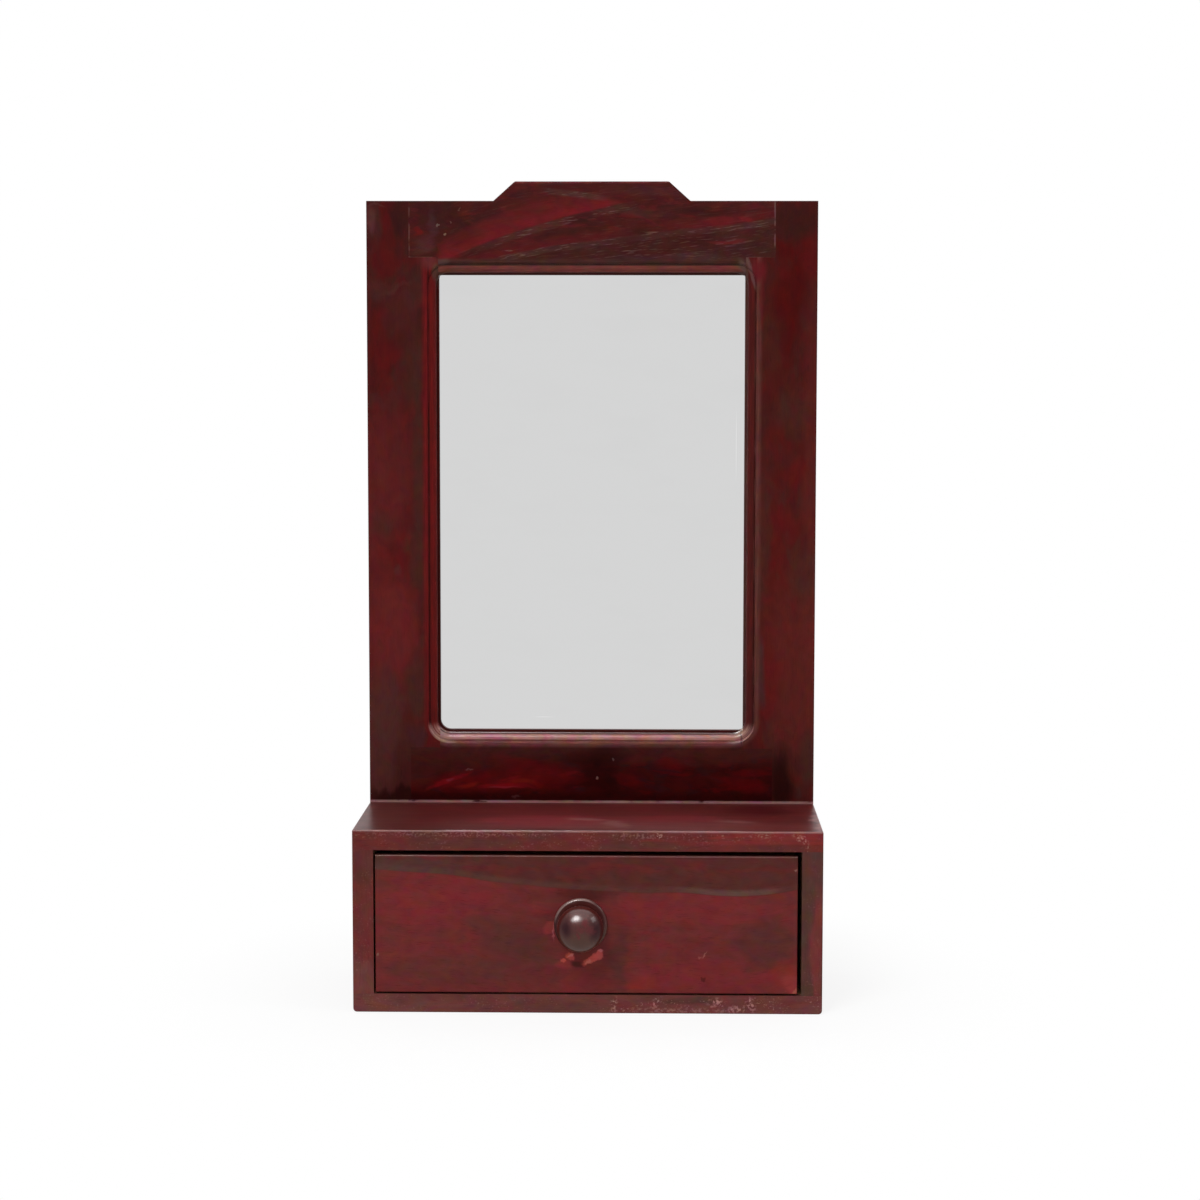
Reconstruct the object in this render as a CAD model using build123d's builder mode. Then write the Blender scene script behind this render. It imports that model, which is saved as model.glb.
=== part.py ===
from build123d import *

import math
import os

# Wall mirror on a shallow case with one drawer. Millimetres, +Z up, front towards -Y.
# The origin is the middle of the case's underside, on the surface that it stands on.

os.makedirs("parts", exist_ok=True)

# Overall sizes
WIDTH = 305.0
CASE_DEPTH = 130.0
CASE_HEIGHT = 120.0
CASE_FRONT = -CASE_DEPTH / 2
CASE_REAR = CASE_DEPTH / 2
HALF_WIDTH = WIDTH / 2

# Mirror frame: stiles, rails and the opening between them
FRAME_HEIGHT = 410.0
FRAME_THICKNESS = 19.0
STILE_WIDTH = 48.5
RAIL_WIDTH = 49.5
FRAME_FRONT = CASE_REAR - FRAME_THICKNESS
FRAME_TOP = CASE_HEIGHT + FRAME_HEIGHT
OPENING_WIDTH = WIDTH - 2 * STILE_WIDTH
OPENING_HEIGHT = FRAME_HEIGHT - 2 * RAIL_WIDTH
OPENING_BOTTOM = CASE_HEIGHT + RAIL_WIDTH
OPENING_TOP = OPENING_BOTTOM + OPENING_HEIGHT
OPENING_MIDDLE = (OPENING_BOTTOM + OPENING_TOP) / 2
OPENING_RADIUS = 7.0
CHOPPED_RADIUS = 1.0
FRAME_ARRIS = 0.7

# Shallow rebate along the back of the case top, in which the frame stands
HOUSING_DEPTH = 2.0
FRAME_FOOT = CASE_HEIGHT - HOUSING_DEPTH

# Raised crest in the middle of the top rail
CREST_HEIGHT = 13.0
CREST_FOOT_WIDTH = 133.0
CREST_TOP_WIDTH = 104.0
CREST_ROUNDING = 2.0

# Moulding routed round the opening: a flat lip, a quarter round, a quirk and a rounded step
LIP_WIDTH = 1.5
LIP_WALL = 0.5
OVOLO_RADIUS = 5.0
QUIRK_WIDTH = 0.7
STEP_WALL = 0.2
STEP_ROUNDING = 1.8
STEP_DEPTH = STEP_WALL + STEP_ROUNDING
LIP_DEPTH = STEP_DEPTH + OVOLO_RADIUS + LIP_WALL
MOULDING_WIDTH = LIP_WIDTH + OVOLO_RADIUS + QUIRK_WIDTH

# Halved corner joints: the front half of each rail end is let into the stile
LAP_DEPTH = FRAME_THICKNESS / 2
LAP_HEIGHT = 37.8
LAP_LENGTH = 20.0
LAP_END = OPENING_WIDTH / 2 + LAP_LENGTH

# Rabbet at the back of the frame, with the glass and its backing board in it
RABBET_MARGIN = 6.0
RABBET_FLOOR = FRAME_FRONT + LAP_DEPTH
PANE_CLEARANCE = 1.0
PANE_WIDTH = OPENING_WIDTH + 2 * (RABBET_MARGIN - PANE_CLEARANCE)
PANE_HEIGHT = OPENING_HEIGHT + 2 * (RABBET_MARGIN - PANE_CLEARANCE)
GLASS_THICKNESS = 3.0
BACKING_THICKNESS = 3.0
BACKING_REAR = RABBET_FLOOR + GLASS_THICKNESS + BACKING_THICKNESS

# Pins that hold the backing board, driven into the rabbet walls
HOLE_CLEARANCE = 0.1
BACKING_PIN_RADIUS = 0.7
BACKING_PIN_LENGTH = 15.0
BACKING_PIN_OVERLAP = 6.0
BACKING_PINS_PER_STILE = 3
BACKING_PINS_PER_RAIL = 2
BACKING_PIN_PITCH_Z = 105.0
BACKING_PIN_PITCH_X = 110.0
BACKING_PIN_DEPTH = BACKING_REAR + BACKING_PIN_RADIUS

# Keyhole hanger plates let in flush at the backs of the stiles
HANGER_X = HALF_WIDTH - (STILE_WIDTH - RABBET_MARGIN) / 2
HANGER_BELOW_TOP = 65.0
HANGER_Z = FRAME_TOP - HANGER_BELOW_TOP
HANGER_WIDTH = 16.0
HANGER_LENGTH = 46.0
HANGER_THICKNESS = 1.6
HANGER_CORNER = 3.0
KEYHOLE_ENTRY_RADIUS = 4.5
KEYHOLE_SLOT_RADIUS = 2.2
KEYHOLE_RISE = 10.0
KEYHOLE_ENTRY_DROP = 5.0
KEYHOLE_POCKET_DEPTH = 8.0
KEYHOLE_POCKET_MARGIN = 0.8
HANGER_SCREW_OFFSET = 18.0
HANGER_SCREW_LENGTH = 14.0
HANGER_SCREW_SHANK = 1.4
HANGER_SCREW_HEAD = 2.8
HANGER_SCREW_HEAD_DEPTH = 1.3

# Case boards
CASE_SIDE_THICKNESS = 13.6
CASE_TOP_THICKNESS = 13.2
CASE_BOTTOM_THICKNESS = 12.2
CASE_INNER_HALF = HALF_WIDTH - CASE_SIDE_THICKNESS
CASE_CEILING = CASE_HEIGHT - CASE_TOP_THICKNESS
CASE_FLOOR = CASE_BOTTOM_THICKNESS
CASE_ARRIS = 1.0
CASE_FOOT_ROUNDING = 2.5

# Case back panel in a rabbet round the rear of the case
CASE_BACK_THICKNESS = 4.0
CASE_BACK_LAP = 6.5
CASE_BACK_CLEARANCE = 0.2
CASE_BACK_FRONT = CASE_REAR - CASE_BACK_THICKNESS
CASE_BACK_PIN_RADIUS = 0.8
CASE_BACK_PIN_LENGTH = 14.0
CASE_BACK_PIN_HEAD = 1.6
CASE_BACK_PIN_HEAD_DEPTH = 1.0
CASE_BACK_PIN_END_MARGIN = 13.4
CASE_BACK_PINS_PER_ROW = 4
CASE_BACK_PIN_REACH = CASE_INNER_HALF + CASE_BACK_LAP - CASE_BACK_PIN_END_MARGIN
CASE_BACK_PIN_PITCH = 2 * CASE_BACK_PIN_REACH / (CASE_BACK_PINS_PER_ROW - 1)

# Dowels in the case corners
DOWEL_RADIUS = 3.0
DOWEL_IN_BOARD = 8.0
DOWEL_IN_SIDE = 14.0
DOWEL_Y = 38.0
DOWEL_X = CASE_INNER_HALF + CASE_SIDE_THICKNESS / 2

# Screws up through the case top into the bottom rail
FRAME_SCREW_PITCH = 85.0
FRAME_SCREW_COUNT = 3
FRAME_SCREW_Y = (FRAME_FRONT + CASE_REAR) / 2
FRAME_SCREW_LENGTH = 38.0
FRAME_SCREW_SHANK = 2.0
FRAME_SCREW_HEAD = 4.0
FRAME_SCREW_HEAD_DEPTH = 2.6

# Drawer: it sits a little to the left of centre, low in its opening
DRAWER_GAP_LEFT = 1.2
DRAWER_GAP_RIGHT = 2.8
DRAWER_HALF = CASE_INNER_HALF - (DRAWER_GAP_LEFT + DRAWER_GAP_RIGHT) / 2
DRAWER_X = (DRAWER_GAP_LEFT - DRAWER_GAP_RIGHT) / 2
DRAWER_FRONT_THICKNESS = 12.7
DRAWER_FRONT_REAR = CASE_FRONT + DRAWER_FRONT_THICKNESS
DRAWER_FRONT_GAP_BELOW = 1.2
DRAWER_FRONT_GAP_ABOVE = 3.1
DRAWER_FRONT_BOTTOM = CASE_FLOOR + DRAWER_FRONT_GAP_BELOW
DRAWER_FRONT_TOP = CASE_CEILING - DRAWER_FRONT_GAP_ABOVE
DRAWER_FRONT_ARRIS = 0.8
DRAWER_FRONT_LIP = 5.2
DRAWER_SIDE_FRONT = CASE_FRONT + DRAWER_FRONT_LIP
DRAWER_SIDE_THICKNESS = 8.0
DRAWER_SIDE_GAP_BELOW = 0.1
DRAWER_SIDE_GAP_ABOVE = 7.0
DRAWER_SIDE_BOTTOM = CASE_FLOOR + DRAWER_SIDE_GAP_BELOW
DRAWER_SIDE_TOP = CASE_CEILING - DRAWER_SIDE_GAP_ABOVE
DRAWER_GAP_BEHIND = 3.0
DRAWER_REAR = CASE_BACK_FRONT - DRAWER_GAP_BEHIND
DRAWER_BACK_THICKNESS = 8.0
DRAWER_BACK_FRONT = DRAWER_REAR - DRAWER_BACK_THICKNESS
DRAWER_BACK_BELOW_SIDE = 4.0
DRAWER_BACK_TOP = DRAWER_SIDE_TOP - DRAWER_BACK_BELOW_SIDE

# Thin drawer bottom, slid in grooves from behind and pinned up into the drawer back
PANEL_THICKNESS = 4.0
PANEL_ABOVE_SIDE_FOOT = 6.0
PANEL_BOTTOM = DRAWER_SIDE_BOTTOM + PANEL_ABOVE_SIDE_FOOT
PANEL_TOP = PANEL_BOTTOM + PANEL_THICKNESS
GROOVE_DEPTH = 4.0
GROOVE_CLEARANCE = 0.1

# Pins through the drawer sides, and up through the drawer bottom
DRAWER_PIN_RADIUS = 0.8
DRAWER_PIN_HEAD = 1.5
DRAWER_PIN_HEAD_DEPTH = 1.0
DRAWER_PIN_LENGTH = 22.0
DRAWER_PIN_PITCH = 28.0
DRAWER_PINS_PER_END = 3
PANEL_PIN_PITCH = 95.0
PANEL_PIN_COUNT = 3

# Turned knob, a little left of the middle of the drawer front
KNOB_LEFT_OF_MIDDLE = 3.4
KNOB_X = DRAWER_X - KNOB_LEFT_OF_MIDDLE
KNOB_Z = (DRAWER_FRONT_BOTTOM + DRAWER_FRONT_TOP) / 2
KNOB_FLANGE_RADIUS = 17.4
KNOB_FLANGE_THICKNESS = 2.6
KNOB_NECK_RADIUS = 9.5
KNOB_BALL_RADIUS = 15.1
KNOB_BALL_OUT = 14.5
KNOB_SHOULDER_RADIUS = 8.5
KNOB_DOME_RISE = 11.5
KNOB_SCREW_SHANK = 2.0
KNOB_SCREW_HEAD = 4.2
KNOB_SCREW_HEAD_HEIGHT = 2.4
KNOB_SCREW_REACH = 14.0
SCREW_SLOT_WIDTH = 0.9
SCREW_SLOT_DEPTH = 0.8

# Shares: of a shank's radius that its tip tapers by, and of a rim's thickness that is rounded
TIP_TAPER = 0.6
RIM_ROUNDING = 0.6


def block(x_range, y_range, z_range, mode=Mode.ADD):
    """Box that fills the three given ranges."""
    size = [high - low for low, high in (x_range, y_range, z_range)]
    middle = [(high + low) / 2 for low, high in (x_range, y_range, z_range)]
    with Locations(tuple(middle)):
        Box(*size, mode=mode)


def upright(y):
    """Plane facing the front at depth y, with local x to the right and local y upwards."""
    return Plane.XZ.offset(-y)


def spread(count, pitch, middle=0.0):
    """Evenly spaced positions about a middle."""
    return [middle + (number - (count - 1) / 2) * pitch for number in range(count)]


def drive(point, direction):
    """Plane for a screw or pin: its head is at the point and its tip lies along the direction."""
    return Plane(origin=point, z_dir=direction)


def pin(length, shank, head, head_depth):
    """Pin with a small flat head whose top is flush with the origin, its point along +Z."""
    with BuildPart() as piece:
        Cylinder(shank, length, align=(Align.CENTER, Align.CENTER, Align.MIN))
        Cylinder(head, head_depth, align=(Align.CENTER, Align.CENTER, Align.MIN))
        chamfer(piece.faces().sort_by(Axis.Z)[-1].edges(), shank * TIP_TAPER)
    return piece.part


def countersunk_screw(length, shank, head, head_depth):
    """Slotted countersunk wood screw, its head flush with the origin and its point along +Z."""
    with BuildPart() as piece:
        Cylinder(shank, length, align=(Align.CENTER, Align.CENTER, Align.MIN))
        Cone(head, shank, head_depth, align=(Align.CENTER, Align.CENTER, Align.MIN))
        chamfer(piece.faces().sort_by(Axis.Z)[-1].edges(), shank * TIP_TAPER)
        Box(
            2 * head,
            SCREW_SLOT_WIDTH,
            SCREW_SLOT_DEPTH,
            align=(Align.CENTER, Align.CENTER, Align.MIN),
            mode=Mode.SUBTRACT,
        )
    return piece.part


def straight_hole(length, radius):
    """Cutter for a hole that runs from the origin along +Z."""
    with BuildPart() as cutter:
        Cylinder(radius, length, align=(Align.CENTER, Align.CENTER, Align.MIN))
    return cutter.part


def headed_hole(length, shank, head, head_depth):
    """Cutter for a pin with a flat head."""
    with BuildPart() as cutter:
        Cylinder(
            shank + HOLE_CLEARANCE,
            length + HOLE_CLEARANCE,
            align=(Align.CENTER, Align.CENTER, Align.MIN),
        )
        Cylinder(
            head + HOLE_CLEARANCE,
            head_depth,
            align=(Align.CENTER, Align.CENTER, Align.MIN),
        )
    return cutter.part


def countersunk_hole(length, shank, head, head_depth):
    """Cutter for a countersunk screw, a clearance wider than the screw all round."""
    with BuildPart() as cutter:
        Cylinder(
            shank + HOLE_CLEARANCE,
            length + HOLE_CLEARANCE,
            align=(Align.CENTER, Align.CENTER, Align.MIN),
        )
        Cone(
            head + HOLE_CLEARANCE,
            shank + HOLE_CLEARANCE,
            head_depth,
            align=(Align.CENTER, Align.CENTER, Align.MIN),
        )
    return cutter.part


def place(piece, planes, mode=Mode.ADD):
    """Adds or cuts the piece once at each plane."""
    with Locations(*planes):
        add(piece, mode=mode)


def save(builder, name):
    """Names a finished piece and writes it to its own file."""
    builder.part.label = name
    export_step(builder.part, f"parts/{name}.step")


# Places of the pins and screws, shared by each fastener and the holes it sits in
backing_pin_places = []
for side in (-1, 1):
    wall_x = side * (OPENING_WIDTH / 2 + RABBET_MARGIN)
    for z in spread(BACKING_PINS_PER_STILE, BACKING_PIN_PITCH_Z, OPENING_MIDDLE):
        head_x = wall_x - side * BACKING_PIN_OVERLAP
        backing_pin_places.append(drive((head_x, BACKING_PIN_DEPTH, z), (side, 0, 0)))
    wall_z = OPENING_MIDDLE + side * (OPENING_HEIGHT / 2 + RABBET_MARGIN)
    for x in spread(BACKING_PINS_PER_RAIL, BACKING_PIN_PITCH_X):
        head_z = wall_z - side * BACKING_PIN_OVERLAP
        backing_pin_places.append(drive((x, BACKING_PIN_DEPTH, head_z), (0, 0, side)))

hanger_screw_places = [
    drive((side * HANGER_X, CASE_REAR, HANGER_Z + end * HANGER_SCREW_OFFSET), (0, -1, 0))
    for side in (-1, 1)
    for end in (-1, 1)
]

frame_screw_places = [
    drive((x, FRAME_SCREW_Y, CASE_CEILING), (0, 0, 1))
    for x in spread(FRAME_SCREW_COUNT, FRAME_SCREW_PITCH)
]

dowel_places = [
    drive((side * DOWEL_X, end * DOWEL_Y, base), (0, 0, 1))
    for side in (-1, 1)
    for end in (-1, 1)
    for base in (CASE_FLOOR - DOWEL_IN_BOARD, CASE_CEILING - DOWEL_IN_SIDE)
]

case_back_pin_places = [
    drive((x, CASE_REAR, z), (0, -1, 0))
    for z in (CASE_FLOOR - CASE_BACK_LAP / 2, CASE_CEILING + CASE_BACK_LAP / 2)
    for x in spread(CASE_BACK_PINS_PER_ROW, CASE_BACK_PIN_PITCH)
]

drawer_side_pin_places = [
    drive((DRAWER_X + side * DRAWER_HALF, y, z), (-side, 0, 0))
    for side in (-1, 1)
    for y in (
        (DRAWER_SIDE_FRONT + DRAWER_FRONT_REAR) / 2,
        DRAWER_REAR - DRAWER_BACK_THICKNESS / 2,
    )
    for z in spread(DRAWER_PINS_PER_END, DRAWER_PIN_PITCH, (PANEL_TOP + DRAWER_BACK_TOP) / 2)
]

panel_pin_places = [
    drive((x, DRAWER_REAR - DRAWER_BACK_THICKNESS / 2, PANEL_BOTTOM), (0, 0, 1))
    for x in spread(PANEL_PIN_COUNT, PANEL_PIN_PITCH, DRAWER_X)
]

# Fasteners as single pieces, and the cutters for their holes
backing_pin = straight_hole(BACKING_PIN_LENGTH, BACKING_PIN_RADIUS)
backing_pin_hole = straight_hole(
    BACKING_PIN_LENGTH + HOLE_CLEARANCE, BACKING_PIN_RADIUS + HOLE_CLEARANCE
)
hanger_screw_size = (
    HANGER_SCREW_LENGTH,
    HANGER_SCREW_SHANK,
    HANGER_SCREW_HEAD,
    HANGER_SCREW_HEAD_DEPTH,
)
hanger_screw = countersunk_screw(*hanger_screw_size)
hanger_screw_hole = countersunk_hole(*hanger_screw_size)
frame_screw_size = (
    FRAME_SCREW_LENGTH,
    FRAME_SCREW_SHANK,
    FRAME_SCREW_HEAD,
    FRAME_SCREW_HEAD_DEPTH,
)
frame_screw = countersunk_screw(*frame_screw_size)
frame_screw_hole = countersunk_hole(*frame_screw_size)
dowel = straight_hole(DOWEL_IN_BOARD + DOWEL_IN_SIDE, DOWEL_RADIUS)
dowel_hole = straight_hole(DOWEL_IN_BOARD + DOWEL_IN_SIDE, DOWEL_RADIUS + HOLE_CLEARANCE)
case_back_pin_size = (
    CASE_BACK_PIN_LENGTH,
    CASE_BACK_PIN_RADIUS,
    CASE_BACK_PIN_HEAD,
    CASE_BACK_PIN_HEAD_DEPTH,
)
case_back_pin = pin(*case_back_pin_size)
case_back_pin_hole = headed_hole(*case_back_pin_size)
drawer_pin_size = (
    DRAWER_PIN_LENGTH,
    DRAWER_PIN_RADIUS,
    DRAWER_PIN_HEAD,
    DRAWER_PIN_HEAD_DEPTH,
)
drawer_pin = pin(*drawer_pin_size)
drawer_pin_hole = headed_hole(*drawer_pin_size)


# The whole frame in one, as it is after glueing up, routing and rabbeting
with BuildPart() as routed_frame:
    with BuildSketch(upright(FRAME_FRONT)) as frame_outline:
        with Locations((0, (FRAME_FOOT + FRAME_TOP) / 2)):
            Rectangle(WIDTH, FRAME_TOP - FRAME_FOOT)
        with BuildLine():
            Polyline(
                (-CREST_FOOT_WIDTH / 2, FRAME_TOP),
                (-CREST_TOP_WIDTH / 2, FRAME_TOP + CREST_HEIGHT),
                (CREST_TOP_WIDTH / 2, FRAME_TOP + CREST_HEIGHT),
                (CREST_FOOT_WIDTH / 2, FRAME_TOP),
                close=True,
            )
        make_face()
        fillet(frame_outline.vertices().group_by(Axis.Y)[-1], CREST_ROUNDING)
    extrude(amount=-FRAME_THICKNESS)
    front_arris = routed_frame.faces().sort_by(Axis.Y)[0].edges()
    foot_line = front_arris.sort_by(Axis.Z)[0]
    chamfer(front_arris - [foot_line], FRAME_ARRIS)

    with BuildSketch(upright(FRAME_FRONT)):
        with Locations((0, OPENING_MIDDLE)):
            RectangleRounded(
                OPENING_WIDTH + 2 * MOULDING_WIDTH,
                OPENING_HEIGHT + 2 * MOULDING_WIDTH,
                OPENING_RADIUS + MOULDING_WIDTH,
            )
    extrude(amount=-STEP_DEPTH, mode=Mode.SUBTRACT)
    front_face = routed_frame.faces().sort_by(Axis.Y)[0]
    fillet(front_face.inner_wires()[0].edges(), STEP_ROUNDING)

    with BuildSketch(upright(FRAME_FRONT)):
        with Locations((0, OPENING_MIDDLE)):
            RectangleRounded(
                OPENING_WIDTH + 2 * LIP_WIDTH,
                OPENING_HEIGHT + 2 * LIP_WIDTH,
                OPENING_RADIUS + LIP_WIDTH,
            )
    extrude(amount=-LIP_DEPTH, mode=Mode.SUBTRACT)
    front_faces = routed_frame.faces().filter_by(Axis.Y)
    step_floor = front_faces.sort_by(lambda face: abs(face.center().Y - FRAME_FRONT - STEP_DEPTH))[0]
    fillet(step_floor.inner_wires()[0].edges(), OVOLO_RADIUS)

    # The lip's corners are chopped square, all but the lower left one
    with BuildSketch(upright(FRAME_FRONT)) as sight_outline:
        with Locations((0, OPENING_MIDDLE)):
            Rectangle(OPENING_WIDTH, OPENING_HEIGHT)
        fillet(sight_outline.vertices().group_by(Axis.Y)[0].sort_by(Axis.X)[0], OPENING_RADIUS)
        fillet(sight_outline.vertices().group_by(Axis.X)[-1], CHOPPED_RADIUS)
        fillet(sight_outline.vertices().group_by(Axis.Y)[-1].sort_by(Axis.X)[0], CHOPPED_RADIUS)
    extrude(amount=-FRAME_THICKNESS, mode=Mode.SUBTRACT)

    with BuildSketch(upright(RABBET_FLOOR)):
        with Locations((0, OPENING_MIDDLE)):
            Rectangle(OPENING_WIDTH + 2 * RABBET_MARGIN, OPENING_HEIGHT + 2 * RABBET_MARGIN)
    extrude(amount=-LAP_DEPTH, mode=Mode.SUBTRACT)


def build_stile(side):
    """One stile: full height, with a half-thickness notch at each inner end for a rail."""
    inner_x = side * OPENING_WIDTH / 2
    outer_x = side * HALF_WIDTH
    lap_x = side * LAP_END
    with BuildPart() as stile:
        add(routed_frame.part)
        block(
            sorted((inner_x, outer_x)),
            (FRAME_FRONT, CASE_REAR),
            (FRAME_FOOT, FRAME_TOP),
            mode=Mode.INTERSECT,
        )
        for low, high in (
            (FRAME_FOOT, CASE_HEIGHT + LAP_HEIGHT),
            (FRAME_TOP - LAP_HEIGHT, FRAME_TOP),
        ):
            block(
                sorted((inner_x, lap_x)),
                (FRAME_FRONT, RABBET_FLOOR),
                (low, high),
                mode=Mode.SUBTRACT,
            )
        place(backing_pin_hole, backing_pin_places, Mode.SUBTRACT)
        plate_x = side * HANGER_X
        with BuildSketch(upright(CASE_REAR)):
            with Locations((plate_x, HANGER_Z)):
                RectangleRounded(
                    HANGER_WIDTH + 2 * HOLE_CLEARANCE,
                    HANGER_LENGTH + 2 * HOLE_CLEARANCE,
                    HANGER_CORNER + HOLE_CLEARANCE,
                )
        extrude(amount=HANGER_THICKNESS, mode=Mode.SUBTRACT)
        with BuildSketch(upright(CASE_REAR)):
            with Locations((plate_x, HANGER_Z + KEYHOLE_RISE / 2 - KEYHOLE_ENTRY_DROP)):
                SlotCenterToCenter(
                    KEYHOLE_RISE,
                    2 * (KEYHOLE_ENTRY_RADIUS + KEYHOLE_POCKET_MARGIN),
                    rotation=90,
                )
        extrude(amount=KEYHOLE_POCKET_DEPTH, mode=Mode.SUBTRACT)
        place(hanger_screw_hole, hanger_screw_places, Mode.SUBTRACT)
    return stile


left_stile = build_stile(-1)
save(left_stile, "left_stile")

right_stile = build_stile(1)
save(right_stile, "right_stile")


def build_rail(low, high, lap_low, lap_high):
    """One rail: full thickness between the stiles, half thickness where it laps over them."""
    with BuildPart() as region:
        block(
            (-OPENING_WIDTH / 2, OPENING_WIDTH / 2),
            (FRAME_FRONT, CASE_REAR),
            (low, high),
        )
        block((-LAP_END, LAP_END), (FRAME_FRONT, RABBET_FLOOR), (lap_low, lap_high))
    with BuildPart() as rail:
        add(routed_frame.part)
        add(region.part, mode=Mode.INTERSECT)
        place(backing_pin_hole, backing_pin_places, Mode.SUBTRACT)
        place(frame_screw_hole, frame_screw_places, Mode.SUBTRACT)
    return rail


top_rail = build_rail(
    OPENING_MIDDLE,
    FRAME_TOP + CREST_HEIGHT,
    FRAME_TOP - LAP_HEIGHT,
    FRAME_TOP,
)
save(top_rail, "top_rail")

bottom_rail = build_rail(
    FRAME_FOOT,
    OPENING_MIDDLE,
    FRAME_FOOT,
    CASE_HEIGHT + LAP_HEIGHT,
)
save(bottom_rail, "bottom_rail")


# Mirror glass, laid into the rabbet from behind
with BuildPart() as mirror_glass:
    with BuildSketch(upright(RABBET_FLOOR)):
        with Locations((0, OPENING_MIDDLE)):
            Rectangle(PANE_WIDTH, PANE_HEIGHT)
    extrude(amount=-GLASS_THICKNESS)
save(mirror_glass, "mirror_glass")

# Backing board that covers the silvering
with BuildPart() as backing_board:
    with BuildSketch(upright(RABBET_FLOOR + GLASS_THICKNESS)):
        with Locations((0, OPENING_MIDDLE)):
            Rectangle(PANE_WIDTH, PANE_HEIGHT)
    extrude(amount=-BACKING_THICKNESS)
save(backing_board, "backing_board")

# Pins lying on the backing board, their points in the rabbet walls
with BuildPart() as backing_pins:
    place(backing_pin, backing_pin_places)
save(backing_pins, "backing_pins")


def build_hanger_plate(side):
    """Steel plate with a keyhole: a round entry and a narrow slot that rises from it."""
    plate_x = side * HANGER_X
    entry_z = HANGER_Z - KEYHOLE_ENTRY_DROP
    with BuildPart() as plate:
        with BuildSketch(upright(CASE_REAR)):
            with Locations((plate_x, HANGER_Z)):
                RectangleRounded(HANGER_WIDTH, HANGER_LENGTH, HANGER_CORNER)
            with Locations((plate_x, entry_z)):
                Circle(KEYHOLE_ENTRY_RADIUS, mode=Mode.SUBTRACT)
            with Locations((plate_x, entry_z + KEYHOLE_RISE / 2)):
                SlotCenterToCenter(
                    KEYHOLE_RISE, 2 * KEYHOLE_SLOT_RADIUS, rotation=90, mode=Mode.SUBTRACT
                )
        extrude(amount=HANGER_THICKNESS)
        place(hanger_screw_hole, hanger_screw_places, Mode.SUBTRACT)
    return plate


left_hanger_plate = build_hanger_plate(-1)
save(left_hanger_plate, "left_hanger_plate")

right_hanger_plate = build_hanger_plate(1)
save(right_hanger_plate, "right_hanger_plate")

# Two small screws in each hanger plate
with BuildPart() as hanger_screws:
    place(hanger_screw, hanger_screw_places)
save(hanger_screws, "hanger_screws")

# Three screws from inside the case up into the bottom rail
with BuildPart() as frame_screws:
    place(frame_screw, frame_screw_places)
save(frame_screws, "frame_screws")


def cut_case_back_rabbet():
    """Rabbet round the rear edge of the case for the back panel."""
    reach_x = CASE_INNER_HALF + CASE_BACK_LAP
    block(
        (-reach_x, reach_x),
        (CASE_BACK_FRONT, CASE_REAR),
        (CASE_FLOOR - CASE_BACK_LAP, CASE_CEILING + CASE_BACK_LAP),
        mode=Mode.SUBTRACT,
    )


# Case top, with the rebate for the frame at the back
with BuildPart() as case_top:
    block((-HALF_WIDTH, HALF_WIDTH), (CASE_FRONT, CASE_REAR), (CASE_CEILING, CASE_HEIGHT))
    front_edges = case_top.faces().sort_by(Axis.Y)[0].edges().filter_by(Axis.Z)
    top_edges = case_top.faces().sort_by(Axis.Z)[-1].edges()
    rear_edge = top_edges.sort_by(Axis.Y)[-1]
    fillet(front_edges + (top_edges - [rear_edge]), CASE_ARRIS)
    block(
        (-HALF_WIDTH, HALF_WIDTH),
        (FRAME_FRONT, CASE_REAR),
        (FRAME_FOOT, CASE_HEIGHT),
        mode=Mode.SUBTRACT,
    )
    cut_case_back_rabbet()
    place(dowel_hole, dowel_places, Mode.SUBTRACT)
    place(frame_screw_hole, frame_screw_places, Mode.SUBTRACT)
    place(case_back_pin_hole, case_back_pin_places, Mode.SUBTRACT)
save(case_top, "case_top")

# Case bottom, its lower ends well rounded
with BuildPart() as case_bottom:
    block((-HALF_WIDTH, HALF_WIDTH), (CASE_FRONT, CASE_REAR), (0, CASE_FLOOR))
    fillet(
        case_bottom.edges().filter_by(Axis.Y).group_by(Axis.Z)[0],
        CASE_FOOT_ROUNDING,
    )
    front_outline = case_bottom.faces().sort_by(Axis.Y)[0].edges()
    inner_edge = front_outline.sort_by(Axis.Z)[-1]
    fillet(front_outline - [inner_edge], CASE_ARRIS)
    cut_case_back_rabbet()
    place(dowel_hole, dowel_places, Mode.SUBTRACT)
    place(case_back_pin_hole, case_back_pin_places, Mode.SUBTRACT)
save(case_bottom, "case_bottom")


def build_case_side(side):
    """One case side, between the top and bottom boards."""
    with BuildPart() as board:
        block(
            sorted((side * CASE_INNER_HALF, side * HALF_WIDTH)),
            (CASE_FRONT, CASE_REAR),
            (CASE_FLOOR, CASE_CEILING),
        )
        outer_face = board.faces().sort_by(Axis.X)[0 if side < 0 else -1]
        fillet(outer_face.edges().sort_by(Axis.Y)[0], CASE_ARRIS)
        cut_case_back_rabbet()
        place(dowel_hole, dowel_places, Mode.SUBTRACT)
    return board


case_left_side = build_case_side(-1)
save(case_left_side, "case_left_side")

case_right_side = build_case_side(1)
save(case_right_side, "case_right_side")

# Dowels that join the case sides to the top and bottom
with BuildPart() as case_dowels:
    place(dowel, dowel_places)
save(case_dowels, "case_dowels")

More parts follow.
